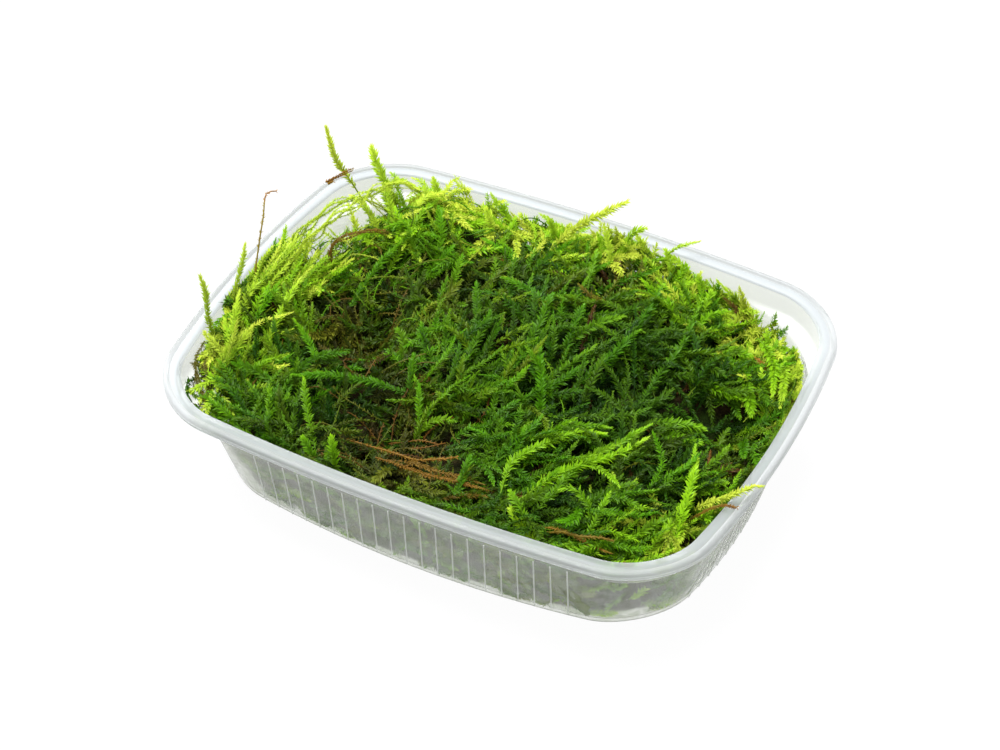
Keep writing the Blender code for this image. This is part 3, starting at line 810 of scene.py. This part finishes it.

# Bare stems and twigs that stand clear: the piece's name, the node it replaces, kind of colour
# of stem and tip, painted light, share of scales, stem radius, how many strands run together, how
# far they part, then the route, in millimetres
BARE = (
    ("dry_twig_pale", "twig_pale", 0.26, 0.12, 1.35, 0.35, 0.24, 1, 0.0,
     (-64.6, -3.8, 26), (-65.2, -2.7, 31), (-66.3, 1.7, 37), (-67.2, 5.8, 42),
     (-69.0, 10.5, 45), (-67.1, 12.3, 45.3)),
    ("dry_twig_crossed", "twig_crossed", 0.10, 0.24, 0.80, 0.6, 0.16, 2, 0.8,
     (-61.5, 25.3, 41), (-59.6, 27.4, 42.0), (-58.0, 28.4, 42.9), (-56.4, 30.0, 43.2)),
    ("dry_knot", "twig_crossed", 0.18, 0.18, 1.20, 1.0, 0.50, 1, 0.0,
     (-61.1, 25.7, 40.3), (-60.6, 26.1, 40.6), (-60.1, 26.5, 40.8)),
    ("bare_arch_outer", "stem_arch_outer", 0.96, 0.99, 0.85, 0.75, 0.13, 6, 2.4,
     (-58.8, 7.4, 26), (-58.0, 9.1, 33), (-55.0, 13.4, 38), (-51.6, 20.4, 41),
     (-48.4, 27.3, 41.6), (-43.8, 35.3, 38.5), (-40.5, 40.5, 31)),
    ("bare_arch_inner", "stem_arch_inner", 0.95, 0.99, 0.80, 0.75, 0.13, 5, 2.2,
     (-63.4, 11.9, 24), (-63.0, 13.5, 31), (-58.8, 16.4, 37), (-54.6, 22.6, 40),
     (-50.8, 26.6, 39.6), (-46.0, 28.8, 33)),
    ("bare_brown_stem", "stem_brown", 0.20, 0.40, 0.60, 0.8, 0.11, 3, 1.8,
     (-52.6, 9.6, 27), (-52.4, 11.6, 33.6), (-48.8, 15.0, 36.4), (-43.6, 18.8, 36.8),
     (-38.6, 24.6, 32)),
    ("brown_end_over_rim", "shoot_over_rim", 0.24, 0.13, 0.85, 0.5, 0.2, 2, 0.3,
     (60.0, -26.0, 27), (64.0, -24.8, 31.0), (67.2, -23.2, 32.0), (69.2, -22.4, 31.4)),
    ("strands_by_wall", "moss_mass", 0.30, 0.44, 0.50, 0.9, 0.13, 6, 3.6,
     (-64.4, -26.0, 28), (-62.2, -32.4, 26), (-58.2, -37.4, 25), (-53.6, -40.8, 25),
     (-48.6, -43.0, 25)),
)

# Further shoots that lie loose on the heap: kind of colour, painted light, leaf size, then the
# route in millimetres
LOOSE_SHOOTS = (
    (0.93, 0.90, 0.90, (-43, 26, 32), (-46.5, 30, 37), (-48.5, 34.5, 39), (-46, 36.5, 38.5),
     (-41.6, 36.1, 38)),
    (0.91, 0.85, 1.00, (-40, 22, 33), (-43, 26, 36.5), (-46.2, 28.5, 38.5), (-50, 32.5, 38)),
    (0.95, 0.95, 0.90, (-38, 26, 33), (-39, 29, 36.5), (-38.5, 33, 38.5), (-36, 37, 38)),
    (0.93, 0.90, 0.80, (-44, 22, 32), (-48, 24, 36), (-52, 25, 38.5), (-55.5, 26.5, 38)),
    (0.88, 0.75, 0.80, (-40, 30, 33), (-45, 33, 36), (-49, 38, 37), (-52.5, 41, 36)),
    (0.92, 0.85, 0.80, (-35, 30, 33), (-38, 34, 36.5), (-42, 39.5, 37), (-47, 42, 35.5)),
    (0.17, 0.85, 0.50, (-11, -40, 26.5), (-4.5, -40.5, 27.5), (1.5, -41, 27.8), (7, -40, 27.8),
     (13, -39, 27.5), (19, -38, 27)),
    (0.20, 0.75, 0.55, (-8, -39, 26), (-1, -38.5, 27.5), (4, -39, 27.8), (10, -37.8, 27.6),
     (15, -37, 27)),
    (0.24, 0.75, 0.55, (8, -45, 26), (11, -43.5, 27.2), (15, -41.5, 27.5), (19, -40, 27)),
    (0.18, 1.00, 0.45, (31, -43, 27), (38, -43, 28.4), (45, -44, 28.2), (49.5, -43.5, 27.5)),
    (0.84, 0.90, 1.05, (20, -38.7, 28), (18.7, -31.4, 30), (21.8, -25.2, 31),
     (27.6, -17.9, 31.7), (33.6, -14.1, 31.2)),
    (0.86, 0.95, 1.10, (24.4, -39.5, 28), (28.6, -32.2, 30.5), (34.3, -24.8, 31.5),
     (39.5, -19.4, 32), (42.7, -11.2, 31.2)),
    (0.89, 0.98, 1.20, (33, -47, 26), (29, -45.5, 28), (25, -43.5, 30)),
    (0.87, 0.95, 1.10, (60, -37.5, 26), (59.4, -29, 29.5), (57.3, -19.9, 30.5),
     (55.4, -12.1, 31)),
    (0.88, 0.92, 1.05, (55.3, -39.2, 26), (57.7, -31.6, 29), (59, -21.8, 30.5)),
    (0.82, 0.85, 1.00, (-17.6, -46.5, 25), (-18.6, -45.5, 30), (-19.7, -44.3, 33)),
    (0.78, 0.75, 0.90, (-22.5, -46.5, 25), (-24.3, -46.3, 28.5), (-26.4, -45.5, 31)),
    (0.90, 0.90, 0.80, (-7.5, 43.9, 28), (-8.7, 43.6, 32), (-9.5, 43.1, 35.5)),
    (0.93, 0.90, 0.75, (8.6, 41, 28), (6.5, 43.4, 32.5), (3.7, 46.3, 36.5)),
    (0.94, 0.95, 0.85, (-22.2, 38.5, 29), (-23.9, 39.1, 33), (-25, 39.7, 35.5)),
    (0.92, 0.95, 0.95, (-35.7, 38.8, 31), (-38.6, 40.2, 35.5), (-40.4, 41.2, 38.5)),
    (0.90, 0.90, 0.80, (22.8, 46, 26), (20.8, 47.5, 30.5), (18.9, 48.6, 32.5)),
    (0.88, 0.85, 0.80, (31.8, 44.6, 26), (30, 45.6, 28.5), (28.9, 46.2, 30)),
    (0.86, 0.85, 0.85, (34.2, 38, 26), (34, 41, 28), (33.6, 43.6, 29)),
    (0.88, 0.85, 0.80, (52.6, 33.5, 25), (52, 35.1, 27), (50.8, 37, 28.5)),
    (0.81, 0.88, 1.20, (47.8, 26.9, 26), (52.2, 21.5, 26.5), (55.3, 16.9, 25.5),
     (57.7, 13, 24)),
    (0.80, 0.85, 1.15, (43, 16.5, 25.5), (48, 16.2, 25.5), (54, 16.2, 25)),
    (0.79, 0.82, 1.15, (41.1, -3.7, 26.4), (47.5, -4.2, 27), (52.1, -2.7, 26.5)),
    (0.80, 0.82, 1.10, (39.5, -2.5, 27), (45.3, -0.4, 27.5), (51, 1.7, 26.5)),
    (0.90, 0.92, 0.90, (52.4, 37.5, 25), (57.8, 30.6, 26.5), (60.5, 25, 26.5), (63, 17, 25.5)),
    (0.86, 0.90, 1.05, (48.9, 36.5, 25.5), (53.3, 32, 27), (57.2, 26.6, 27), (60, 19.5, 26)),
    (0.82, 0.85, 1.10, (43.2, 29.2, 26.5), (46.8, 27.8, 27.5), (50.5, 28.2, 27)),
)

# Shoots in view behind the wall: direction from the middle in degrees, height and length in
# millimetres, slope in radians, kind of colour and painted light
WALL_SHOOTS = (
    (-36.5, 9, 5, 0.8, 0.90, 0.98), (-40.5, 14, 3.5, 0.6, 0.85, 0.90),
    (-43.5, 3, 6, 0.1, 0.90, 0.95), (-115, 8, 5, 1.0, 0.80, 0.90), (-112, 9, 4, -0.8, 0.70, 0.80),
    (-86, 10, 5, 0.9, 0.85, 0.95),
)

# Limp leaf on the inside of the near wall: place along it, height and half width in millimetres
WALL_LEAF = ((37.6, 21.4, 0.4), (38.0, 17.5, 0.8), (38.8, 14.0, 1.3), (40.3, 11.5, 2.0),
             (40.8, 8.8, 1.6), (42.2, 7.0, 2.0), (42.0, 4.6, 1.2), (42.8, 3.2, 0.9),
             (42.6, 2.0, 0.2))

# Least distance of a shoot's stem from the wall, for clear ones and for those of the tangle,
# and the radius of a fine stem
CLEAR_MARGIN, TANGLE_MARGIN = 0.0012, 0.0015
FINE_STEM = 0.00013
UP = Vector((0, 0, 1))
OUT_OF_HEAP = Vector((-0.15, -0.25, 1.0)).normalized()


def surface_lines():
    """Guide lines of the clear shoots and stems on the surface."""
    lines = []
    for widest, rise, kind, light, *route in SURFACE_SHOOTS:
        path = smooth_path(route, 0.0022)
        for share, p in shares(path):
            sunk = 0.0017 * max(0.0, 1 - 4 * share)
            p.z = moss_height(p.x, p.y) + rise * MM * share ** 2 + 0.0009 - sunk
            keep_inside(p, CLEAR_MARGIN)
        if widest < 1:
            lines.append(bare_line(path, OUT_OF_HEAP, kind, light, widest * MM * 0.42, 0.6, 0.45))
        else:
            lines.append(leafy_line(path, OUT_OF_HEAP, kind, min(0.98, light * 1.06),
                                    widest / 1.6))
    return lines


def loose_lines():
    """Guide lines of the loose shoots on the heap."""
    lines = []
    for kind, light, size, *route in LOOSE_SHOOTS:
        path = [keep_inside(p, CLEAR_MARGIN) for p in smooth_path(route, 0.0018)]
        lines.append(leafy_line(path, OUT_OF_HEAP, kind, light, size))
    return lines


# Where the loose tangle has slumped below the solid: middle x, y, spread and rise, in
# millimetres
SLUMPS = (
    (-64, 30, 8, -6), (-55, 44, 8, -4), (-57, 17, 7, -8), (-20, 48, 8, -3.5), (47, 44, 9, -4),
    (-37, -3, 7, -3), (-16, -30, 6, -1.5), (12, 32, 5, -3), (50, 6, 6, -1), (46, -11, 6, -2.5),
    (32, 10, 4, -2.5), (-2, -2, 4, -2), (14, -14, 4, -2), (24, -32, 4, -2), (-46, -22, 5, -1.5),
)


def tangle_height(x, y):
    """Height of the loose tangle's surface over one place of the tray."""
    return mounded(moss_height(x, y), SLUMPS, x, y)


def strides(x, y, heading, length, steps, bend):
    """Walk in equal strides and bend after each: share of the way, x and y of each place."""
    for i in range(steps + 1):
        yield i / steps, x, y
        x += cos(heading) * length / steps
        y += sin(heading) * length / steps
        heading += bend()


def tangle_line(rng, x, y, depth, turn, shade, tone):
    """Guide line of one shoot of the tangle, rooted at a place in millimetres."""
    heading, rise, length, kind, light, scatter = lie_at(x, y)
    heading += turn * radians(scatter) * 1.2 + rng.gauss(0, 0.25)
    length *= rng.uniform(0.55, 1.15)
    steps = max(4, round(length / 2.4))
    bend = rng.gauss(0, 1.0) / steps
    top = max(0.0, 1 - max(0.0, depth) / 1.5)
    lift = (rise + 1.5) * rng.uniform(0.1, 1.0) * (0.2 + 0.8 * top)
    path = []
    for share, px, py in strides(x * MM, y * MM, heading + bend, length * MM, steps,
                                 lambda: bend):
        sunk = 0.0024 * max(0.0, 1 - 3 * share)
        wave = 0.0006 * sin(share * 5 + x)
        z = tangle_height(px, py) - depth * MM - sunk + lift * MM * share ** 2.2 + wave
        p = Vector((px, py, max(z, 0.0035)))
        path.append(keep_inside(p, TANGLE_MARGIN, px > 0.02 and py > -0.02))
    kind = min(0.99, kind + 0.08, max(0.05, kind + tone + rng.gauss(0, 0.03)))
    if depth > 0.3 and rng.random() < 0.06:
        kind = rng.uniform(0.03, 0.36)
        light *= 0.7
    # Painted shade: deeper shoots of the tangle are darker, less so where the painted light is
    # high.
    depth_shade = 0.16 + 1.1 * exp(-(depth + 0.8) / 1.5)
    depth_shade += max(0.0, 1 - depth_shade) * max(0.0, light - 0.5) * 1.5
    light = min(0.98, max(0.06, light * shade * rng.uniform(0.85, 1.15) * depth_shade))
    face = (UP + Vector((rng.gauss(0, 0.45), rng.gauss(0, 0.45), 0))).normalized()
    return leafy_line(path, face, kind, light, rng.uniform(0.6, 1.0), rng.uniform(-0.2, 0.25),
                      FINE_STEM)


def tangle_lines(rng, count):
    """The loose tangle over the whole tray: tufts, from deep in the heap up to its surface."""
    lines = []
    while len(lines) < count:
        x, y = rng.uniform(-66, 66), rng.uniform(-50, 50)
        if hypot(x, y) * MM > wall_reach(x, y, SHOULDER_Z) - TANGLE_MARGIN:
            continue
        if hypot(x + 61, y - 36) < 15 and rng.random() < 0.6:
            continue
        if hypot(x + 55, y - 16) < 10 and rng.random() < 0.9:
            continue
        lit_edge = x < -50 or y > 32
        depth = rng.choices((rng.uniform(-0.9, 0.6), rng.uniform(0.6, 2.4),
                             rng.uniform(2.4, 5.0)), (7, 2, 1) if lit_edge else (5, 3, 2))[0]
        gap = noise.noise(Vector((x / 6, y / 6, 4.2)))
        if gap > (0.45 if lit_edge else 0.25):
            depth = rng.uniform(2.2, 4.8)
        turn, shade, tone = rng.gauss(0, 1), rng.uniform(0.45, 1.55), rng.gauss(0, 0.07)
        for _ in range(rng.randint(2, 5)):
            lines.append(tangle_line(rng, x + rng.gauss(0, 1.3), y + rng.gauss(0, 1.3),
                                     depth + rng.gauss(0, 0.3), turn, shade, tone))
    return lines


def plume_lines(rng, count):
    """The bright fan of shoots that runs up along the left wall to its rim."""
    lines = []
    for _ in range(count):
        x, y = rng.uniform(-65, -53), rng.uniform(-36, -2)
        outer = (-51 - x) / 14
        heading = radians(98 - 12 * (1 - outer) + rng.gauss(0, 9))
        length = rng.uniform(14, 24)
        top = rng.uniform(28.5, 31) + 4.5 * outer * rng.random() - 0.3 * max(0.0, -12 - y)
        foot = tangle_height(x * MM, y * MM) / MM - rng.uniform(0.5, 4)
        path = []
        for share, x, y in strides(x, y, heading, length, 7, lambda: rng.gauss(0, 0.05)):
            z = foot + (top - foot) * share ** 0.8 + 0.5 * sin(share * 6 + x)
            path.append(keep_inside(Vector((x, y, z)) * MM, TANGLE_MARGIN))
        face = (OUT_OF_HEAP + Vector((rng.gauss(0, 0.4), rng.gauss(0, 0.4), 0))).normalized()
        lines.append(leafy_line(path, face, rng.uniform(0.86, 0.97), rng.uniform(0.7, 0.98),
                                rng.uniform(0.5, 0.85), 0.1, FINE_STEM))
    return lines


# Where thin curled stems stand out of the tangle: middle x, y and spread in millimetres, how
# many, how high they arch, kind of colour and painted light
CURLS = (
    (-46, 16, 9, 46, 4.5, 0.62, 0.70),
    (-58, 22, 6, 20, 5.0, 0.86, 0.85),
    (-30, 30, 11, 34, 3.5, 0.84, 0.75),
    (-36, -4, 9, 26, 3.0, 0.40, 0.55),
    (-10, -32, 8, 34, 2.2, 0.30, 0.50),
    (0, 40, 16, 24, 3.0, 0.80, 0.70),
    (58, 20, 8, 24, 3.0, 0.70, 0.65),
    (20, 0, 30, 30, 2.5, 0.62, 0.60),
)


def curl_lines(rng):
    """Thin curled stems with short leaves, arching over the surface."""
    lines = []
    for x, y, spread, count, arch, kind, light in CURLS:
        for _ in range(count):
            px, py = rng.gauss(x, spread) * MM, rng.gauss(y, spread) * MM
            heading, bend = rng.uniform(0, tau), rng.gauss(0, 1.6) / 8
            length, high = rng.uniform(8, 20) * MM, rng.uniform(0.3, 1.0) * arch * MM
            path = []
            for share, px, py in strides(px, py, heading + bend, length, 8, lambda: bend):
                z = tangle_height(px, py) - 0.001 + high * sin(2.7 * share)
                path.append(keep_inside(Vector((px, py, z)), 0.002, px > 0))
            tone = min(0.97, max(0.04, rng.gauss(kind, 0.12)))
            shade = min(0.95, light * rng.uniform(0.7, 1.25))
            lines.append([[p, UP, tone, shade, 0.42, 0.9, 0.55, 0.00016] for p in path])
    return lines


def fringe_lines(rng, count):
    """Shoots at the edge of the heap, lying along the wall."""
    lines = []
    while len(lines) < count:
        turn, depth = rng.uniform(0, tau), rng.uniform(-0.3, 2.5)
        reach = wall_reach(cos(turn), sin(turn), SHOULDER_Z) / MM - rng.uniform(2, 6)
        x, y = cos(turn) * reach, sin(turn) * reach
        if x < -35 and y > 5:
            continue
        kind, light = lie_at(x, y)[3:5]
        heading = turn + rng.choice((-1, 1)) * rng.uniform(0.9, 1.7)
        path = []
        for _, x, y in strides(x, y, heading, 10, 5, lambda: rng.gauss(0, 0.2)):
            z = tangle_height(x * MM, y * MM) / MM - depth + rng.uniform(0, 0.8)
            path.append(keep_inside(Vector((x, y, z)) * MM, CLEAR_MARGIN, x > 20 and y > -20))
        face = Vector((-cos(turn) * 0.3, -sin(turn) * 0.3, 1)).normalized()
        lines.append(leafy_line(path, face, kind + rng.gauss(0, 0.05),
                                min(0.95, 0.15 + light * rng.uniform(0.6, 1.2)),
                                rng.uniform(0.6, 0.95), 0.0, FINE_STEM))
    return lines


def wall_line(turn, z, length, climb, sense, edge, kind, light):
    """Guide line of a shoot pressed against the inside of the wall."""
    path = []
    for i in range(6):
        travel = length * i / 5
        angle = turn + sense * cos(climb) * travel / 0.065
        p = Vector((cos(angle), sin(angle), 0.0)) * 0.08
        p.z = min(edge, max(0.0026, z + sin(climb) * travel))
        path.append(keep_inside(p, 0.0009))
    face = Vector((cos(turn), sin(turn), 0.3)).normalized()
    return leafy_line(path, face, kind, light, 0.8)


def wall_lines(rng, count):
    """Shoots pressed against the inside of the wall, seen through it."""
    lines = [wall_line(radians(turn), z * MM, length * MM, climb, 1, 0.023, kind, light)
             for turn, z, length, climb, kind, light in WALL_SHOOTS]
    while len(lines) < count:
        turn = rng.uniform(0, tau)
        z = rng.uniform(2.6, 26.0) * MM
        x, y = cos(turn), sin(turn)
        reach = wall_reach(x, y, z)
        edge = tangle_height(x * reach, y * reach) - 0.001
        near_left = hypot(x * reach + 0.06, y * reach + 0.043)
        near_right = hypot(x * reach - 0.053, y * reach + 0.041)
        if z > edge or z < 0.018 and min(near_left, near_right + 0.006) < rng.uniform(0, 0.02):
            continue
        kind = rng.choice((0.4, 0.5, 0.6, 0.7, 0.85)) + rng.gauss(0, 0.04)
        lines.append(wall_line(turn, z, rng.uniform(6, 12) * MM, rng.uniform(-1.2, 1.3),
                               rng.choice((-1, 1)), edge, kind, rng.uniform(0.5, 0.9)))
    return lines


def make_wall_leaf(mat):
    """The limp leaf that clings to the inside of the near wall."""
    rows = []
    for x, z, half in WALL_LEAF:
        row = []
        for side, lift in ((-half, 0.3), (0, 0.5), (half, 0.3)):
            place = (x + side) * MM
            share = z * MM / SHOULDER_Z
            outward = Vector((0, -1, 0))
            reach = BASE.side(place, outward) * (1 - share) + SHOULDER.side(place, outward) * share
            row.append((place, lift * MM + WALL - reach, z * MM))
        rows.append(row)
    mesh = bpy.data.meshes.new("wall_leaf")
    mesh.from_pydata([p for row in rows for p in row], [],
                     [(3 * i + k, 3 * i + 3 + k, 3 * i + 4 + k, 3 * i + 1 + k)
                      for i in range(len(rows) - 1) for k in (0, 1)])
    leaf_map = mesh.uv_layers.new(name="OFBake")
    # The map's first value is the painted light, rising from one edge of the leaf to the other;
    # its second is the kind of colour.
    for loop in mesh.loops:
        leaf_map.data[loop.index].uv = (0.18 + 0.09 * (loop.vertex_index % 3), 0.48)
    mesh.shade_smooth()
    return add_object(mesh, mat)


# How far below the tangle's surface the dark middle lies, how many steps its rings have at a
# corner, a long and a short side, and how wide its rings are over the top
CORE_DEPTH = 0.0042
CORE_STEPS = (7, 14, 11)
CORE_TOP = (0.94, 0.86, 0.77, 0.67, 0.57, 0.47, 0.37, 0.27, 0.17, 0.08)


def make_core(mat):
    """The middle of the heap, under the leaves, dark as painted shade, and drawn back from the
    near corners.
    """
    low = BASE.ring(WALL + 0.001, 0.0, CORE_STEPS)
    high = SHOULDER.ring(WALL + 0.0014, 0.0, CORE_STEPS)
    for ring in (low, high):
        for p in ring:
            bare = exp(-(hypot(p.x + 0.06, p.y + 0.043) / 0.012) ** 2)
            bare += 0.25 * exp(-(hypot(p.x - 0.053, p.y + 0.041) / 0.014) ** 2)
            p *= 1 - 0.07 * bare
    rim = []
    for a, b in zip(low, high):
        top = min(tangle_height(b.x, b.y) - CORE_DEPTH - 0.001, SHOULDER_Z - 0.001)
        flat = a.lerp(b, top / SHOULDER_Z)
        rim.append(Vector((flat.x, flat.y, top)))
    rows = [[Vector((p.x * 0.99, p.y * 0.99, 0.0011)) for p in low]]
    for share in (0.05, 0.15, 0.4, 0.7):
        rows.append([Vector((*low[i].lerp(p, share).xy, 0.0013 + (p.z - 0.0013) * share))
                     for i, p in enumerate(rim)])
    rows.append(rim)
    for share in CORE_TOP:
        row = []
        for p in rim:
            x, y = p.x * share, p.y * share
            row.append(Vector((x, y, tangle_height(x, y) - CORE_DEPTH)))
        rows.append(row)
    return add_object(closed_skin("old_shoots", rows), mat)


def make_drops(rng, count, mat):
    """Small drops of water on the inside of the wall, as one mesh."""
    drops = bmesh.new()
    for _ in range(count):
        turn, z = rng.uniform(0, tau), rng.uniform(3, 23) * MM
        size = rng.choice((0.15, 0.2, 0.25, 0.35, 0.45)) * MM
        reach = wall_reach(cos(turn), sin(turn), z) - size * 0.9
        place = Matrix.Translation((cos(turn) * reach, sin(turn) * reach, z))
        stretch = Matrix.Diagonal((1, 1, rng.uniform(0.9, 1.5), 1))
        bmesh.ops.create_icosphere(drops, subdivisions=2, radius=size, matrix=place @ stretch)
    return add_object(smooth_mesh("drops", drops), mat)


def make_camera():
    """Camera at the view's turn and rise, slid sideways and rolled a little."""
    aim = (Matrix.Rotation(VIEW_TURN, 4, "Z")
           @ Matrix.Rotation(pi / 2 - VIEW_RISE, 4, "X"))
    data = bpy.data.cameras.new("camera")
    data.lens = LENS
    data.sensor_width = 36
    data.clip_start = 0.01
    camera = bpy.data.objects.new("camera", data)
    camera.matrix_world = (aim @ Matrix.Translation((*VIEW_SLIDE, VIEW_DISTANCE))
                           @ Matrix.Rotation(VIEW_ROLL, 4, "Z"))
    bpy.context.scene.collection.objects.link(camera)
    bpy.context.scene.camera = camera


def make_studio():
    """White floor, pale surroundings and three soft lamps."""
    scene = bpy.context.scene
    scene.view_settings.view_transform = "Standard"
    mesh = bpy.data.meshes.new("floor")
    mesh.from_pydata([(-3, -3, 0), (3, -3, 0), (3, 3, 0), (-3, 3, 0)], [], [(0, 1, 2, 3)])
    mat, tree = new_material("white_floor")
    finish_material(tree, tree.node("ShaderNodeBsdfPrincipled", {
        "Base Color": (0.04, 0.04, 0.04), "Roughness": 0.9, "Specular IOR Level": 0.0,
        "Emission Color": (1.0, 1.0, 1.0), "Emission Strength": 0.96}))
    floor = add_object(mesh, mat)
    floor.location.z = -0.0002
    world = bpy.data.worlds.new("surroundings")
    world.use_nodes = True
    sky = world.node_tree.nodes["Background"]
    sky.inputs["Color"].default_value = (1.0, 1.0, 1.0, 1.0)
    sky.inputs["Strength"].default_value = 0.7
    scene.world = world
    for name, place, size, power in (("key", (-0.25, 0.1, 1.0), 0.5, 17.0),
                                     ("side", (-0.8, 0.45, 0.4), 0.5, 7.0),
                                     ("fill", (0.7, -0.75, 0.5), 0.6, 4.0)):
        data = bpy.data.lights.new(name, "AREA")
        data.size = size
        data.energy = power
        lamp = bpy.data.objects.new(name, data)
        lamp.location = place
        lamp.rotation_euler = (-Vector(place)).to_track_quat("-Z", "Y").to_euler()
        scene.collection.objects.link(lamp)


# How many shoots of each kind there are, and how many drops
TANGLE_SHOOTS, PLUME_SHOOTS, FRINGE_SHOOTS, WALL_SHOOT_COUNT = 2750, 190, 300, 620
DROP_COUNT = 150

make_camera()
make_studio()

wet_moss = moss_material()
tray = make_tray((
    plastic_material("translucent_plastic", 0.87, (0.84, 0.86, 0.82), 0.2, (0.62, 0.66, 0.56)),
    plastic_material("flange_plastic", 0.79, (0.60, 0.64, 0.66), 0.3),
    plastic_material("lip_plastic", 0.78, (0.62, 0.64, 0.645), 0.3),
    plastic_material("foot_plastic", 0.5, (0.48, 0.50, 0.45), 0.3)))
ribs = make_ribs(plastic_material("rib_plastic", 0.7, (0.72, 0.74, 0.71), 0.3))
core = make_core(core_material())
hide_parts("tray")
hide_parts("tray")
drops = make_drops(random.Random(5), DROP_COUNT, water_material())
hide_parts("moss_mass")
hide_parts("tray")
for piece in (tray, ribs, drops):
    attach(piece, "root")
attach(core, "root")

shoots = shoot_group()
leaf = add_object(leaf_mesh())
rng = random.Random(7)


def grow(name, lines, seed, spacing=0.00015, length=0.0019, flatness=0.4, sides=3):
    """Leaf out a set of guide lines as one piece."""
    piece = run_tree(name, line_mesh(name + "_lines", lines, GUIDE_FIELDS), shoots, {
        "Leaf": leaf, "Leaf spacing": spacing, "Leaf length": length, "Flatness": flatness,
        "Stem sides": sides, "Seed": seed, "Finish": wet_moss})
    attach(piece, "root")
    return piece


surface = grow("clear_shoots", surface_lines() + loose_lines(), 3, spacing=0.00011,
               flatness=0.5, sides=4)
tangle = tangle_lines(rng, TANGLE_SHOOTS) + plume_lines(rng, PLUME_SHOOTS)
tangle += fringe_lines(rng, FRINGE_SHOOTS)
tangle.sort(key=lambda line: line[0][0].x)
fifth = len(tangle) // 5
moss_pieces = [surface, make_wall_leaf(wet_moss)]
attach(moss_pieces[1], "root")
for k, where in enumerate(("left", "mid_left", "middle", "mid_right", "right")):
    moss_pieces.append(grow("tangle_" + where, tangle[k * fifth:(k + 1) * fifth], 11 + k))
moss_pieces.append(grow("curled_stems", curl_lines(rng), 19, spacing=0.0003))
moss_pieces.append(grow("wall_shoots", wall_lines(rng, WALL_SHOOT_COUNT), 23, flatness=0.8))
for piece in moss_pieces:
    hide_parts("moss_mass")


def stand(name, node, lines):
    """Leaf out one shoot or stem that stands clear, in place of its node."""
    piece = grow(name, lines, 31, spacing=0.00012, flatness=0.4, sides=5)
    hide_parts(node)


for name, node, kind, light, size, bare, *route in STANDING:
    path = smooth_path(route, 0.0015)
    stand(name, node, [leafy_line(path, OUT_OF_HEAP, kind, light, size, bare, 0.0002, 0.6)])
for name, node, kind, tip_kind, light, scales, stem, strands, apart, *route in BARE:
    lines = []
    for k in range(strands):
        path = smooth_path(route, 0.0015)
        for i, p in enumerate(path):
            for axis in range(3):
                p[axis] += apart * MM * noise.noise(Vector((i * 0.2, k * 7.13, axis * 3.3)))
        lines.append(bare_line(path, OUT_OF_HEAP, kind, light, stem * MM, scales, 0.42, tip_kind))
    stand(name, node, lines)
bpy.data.objects.remove(leaf)
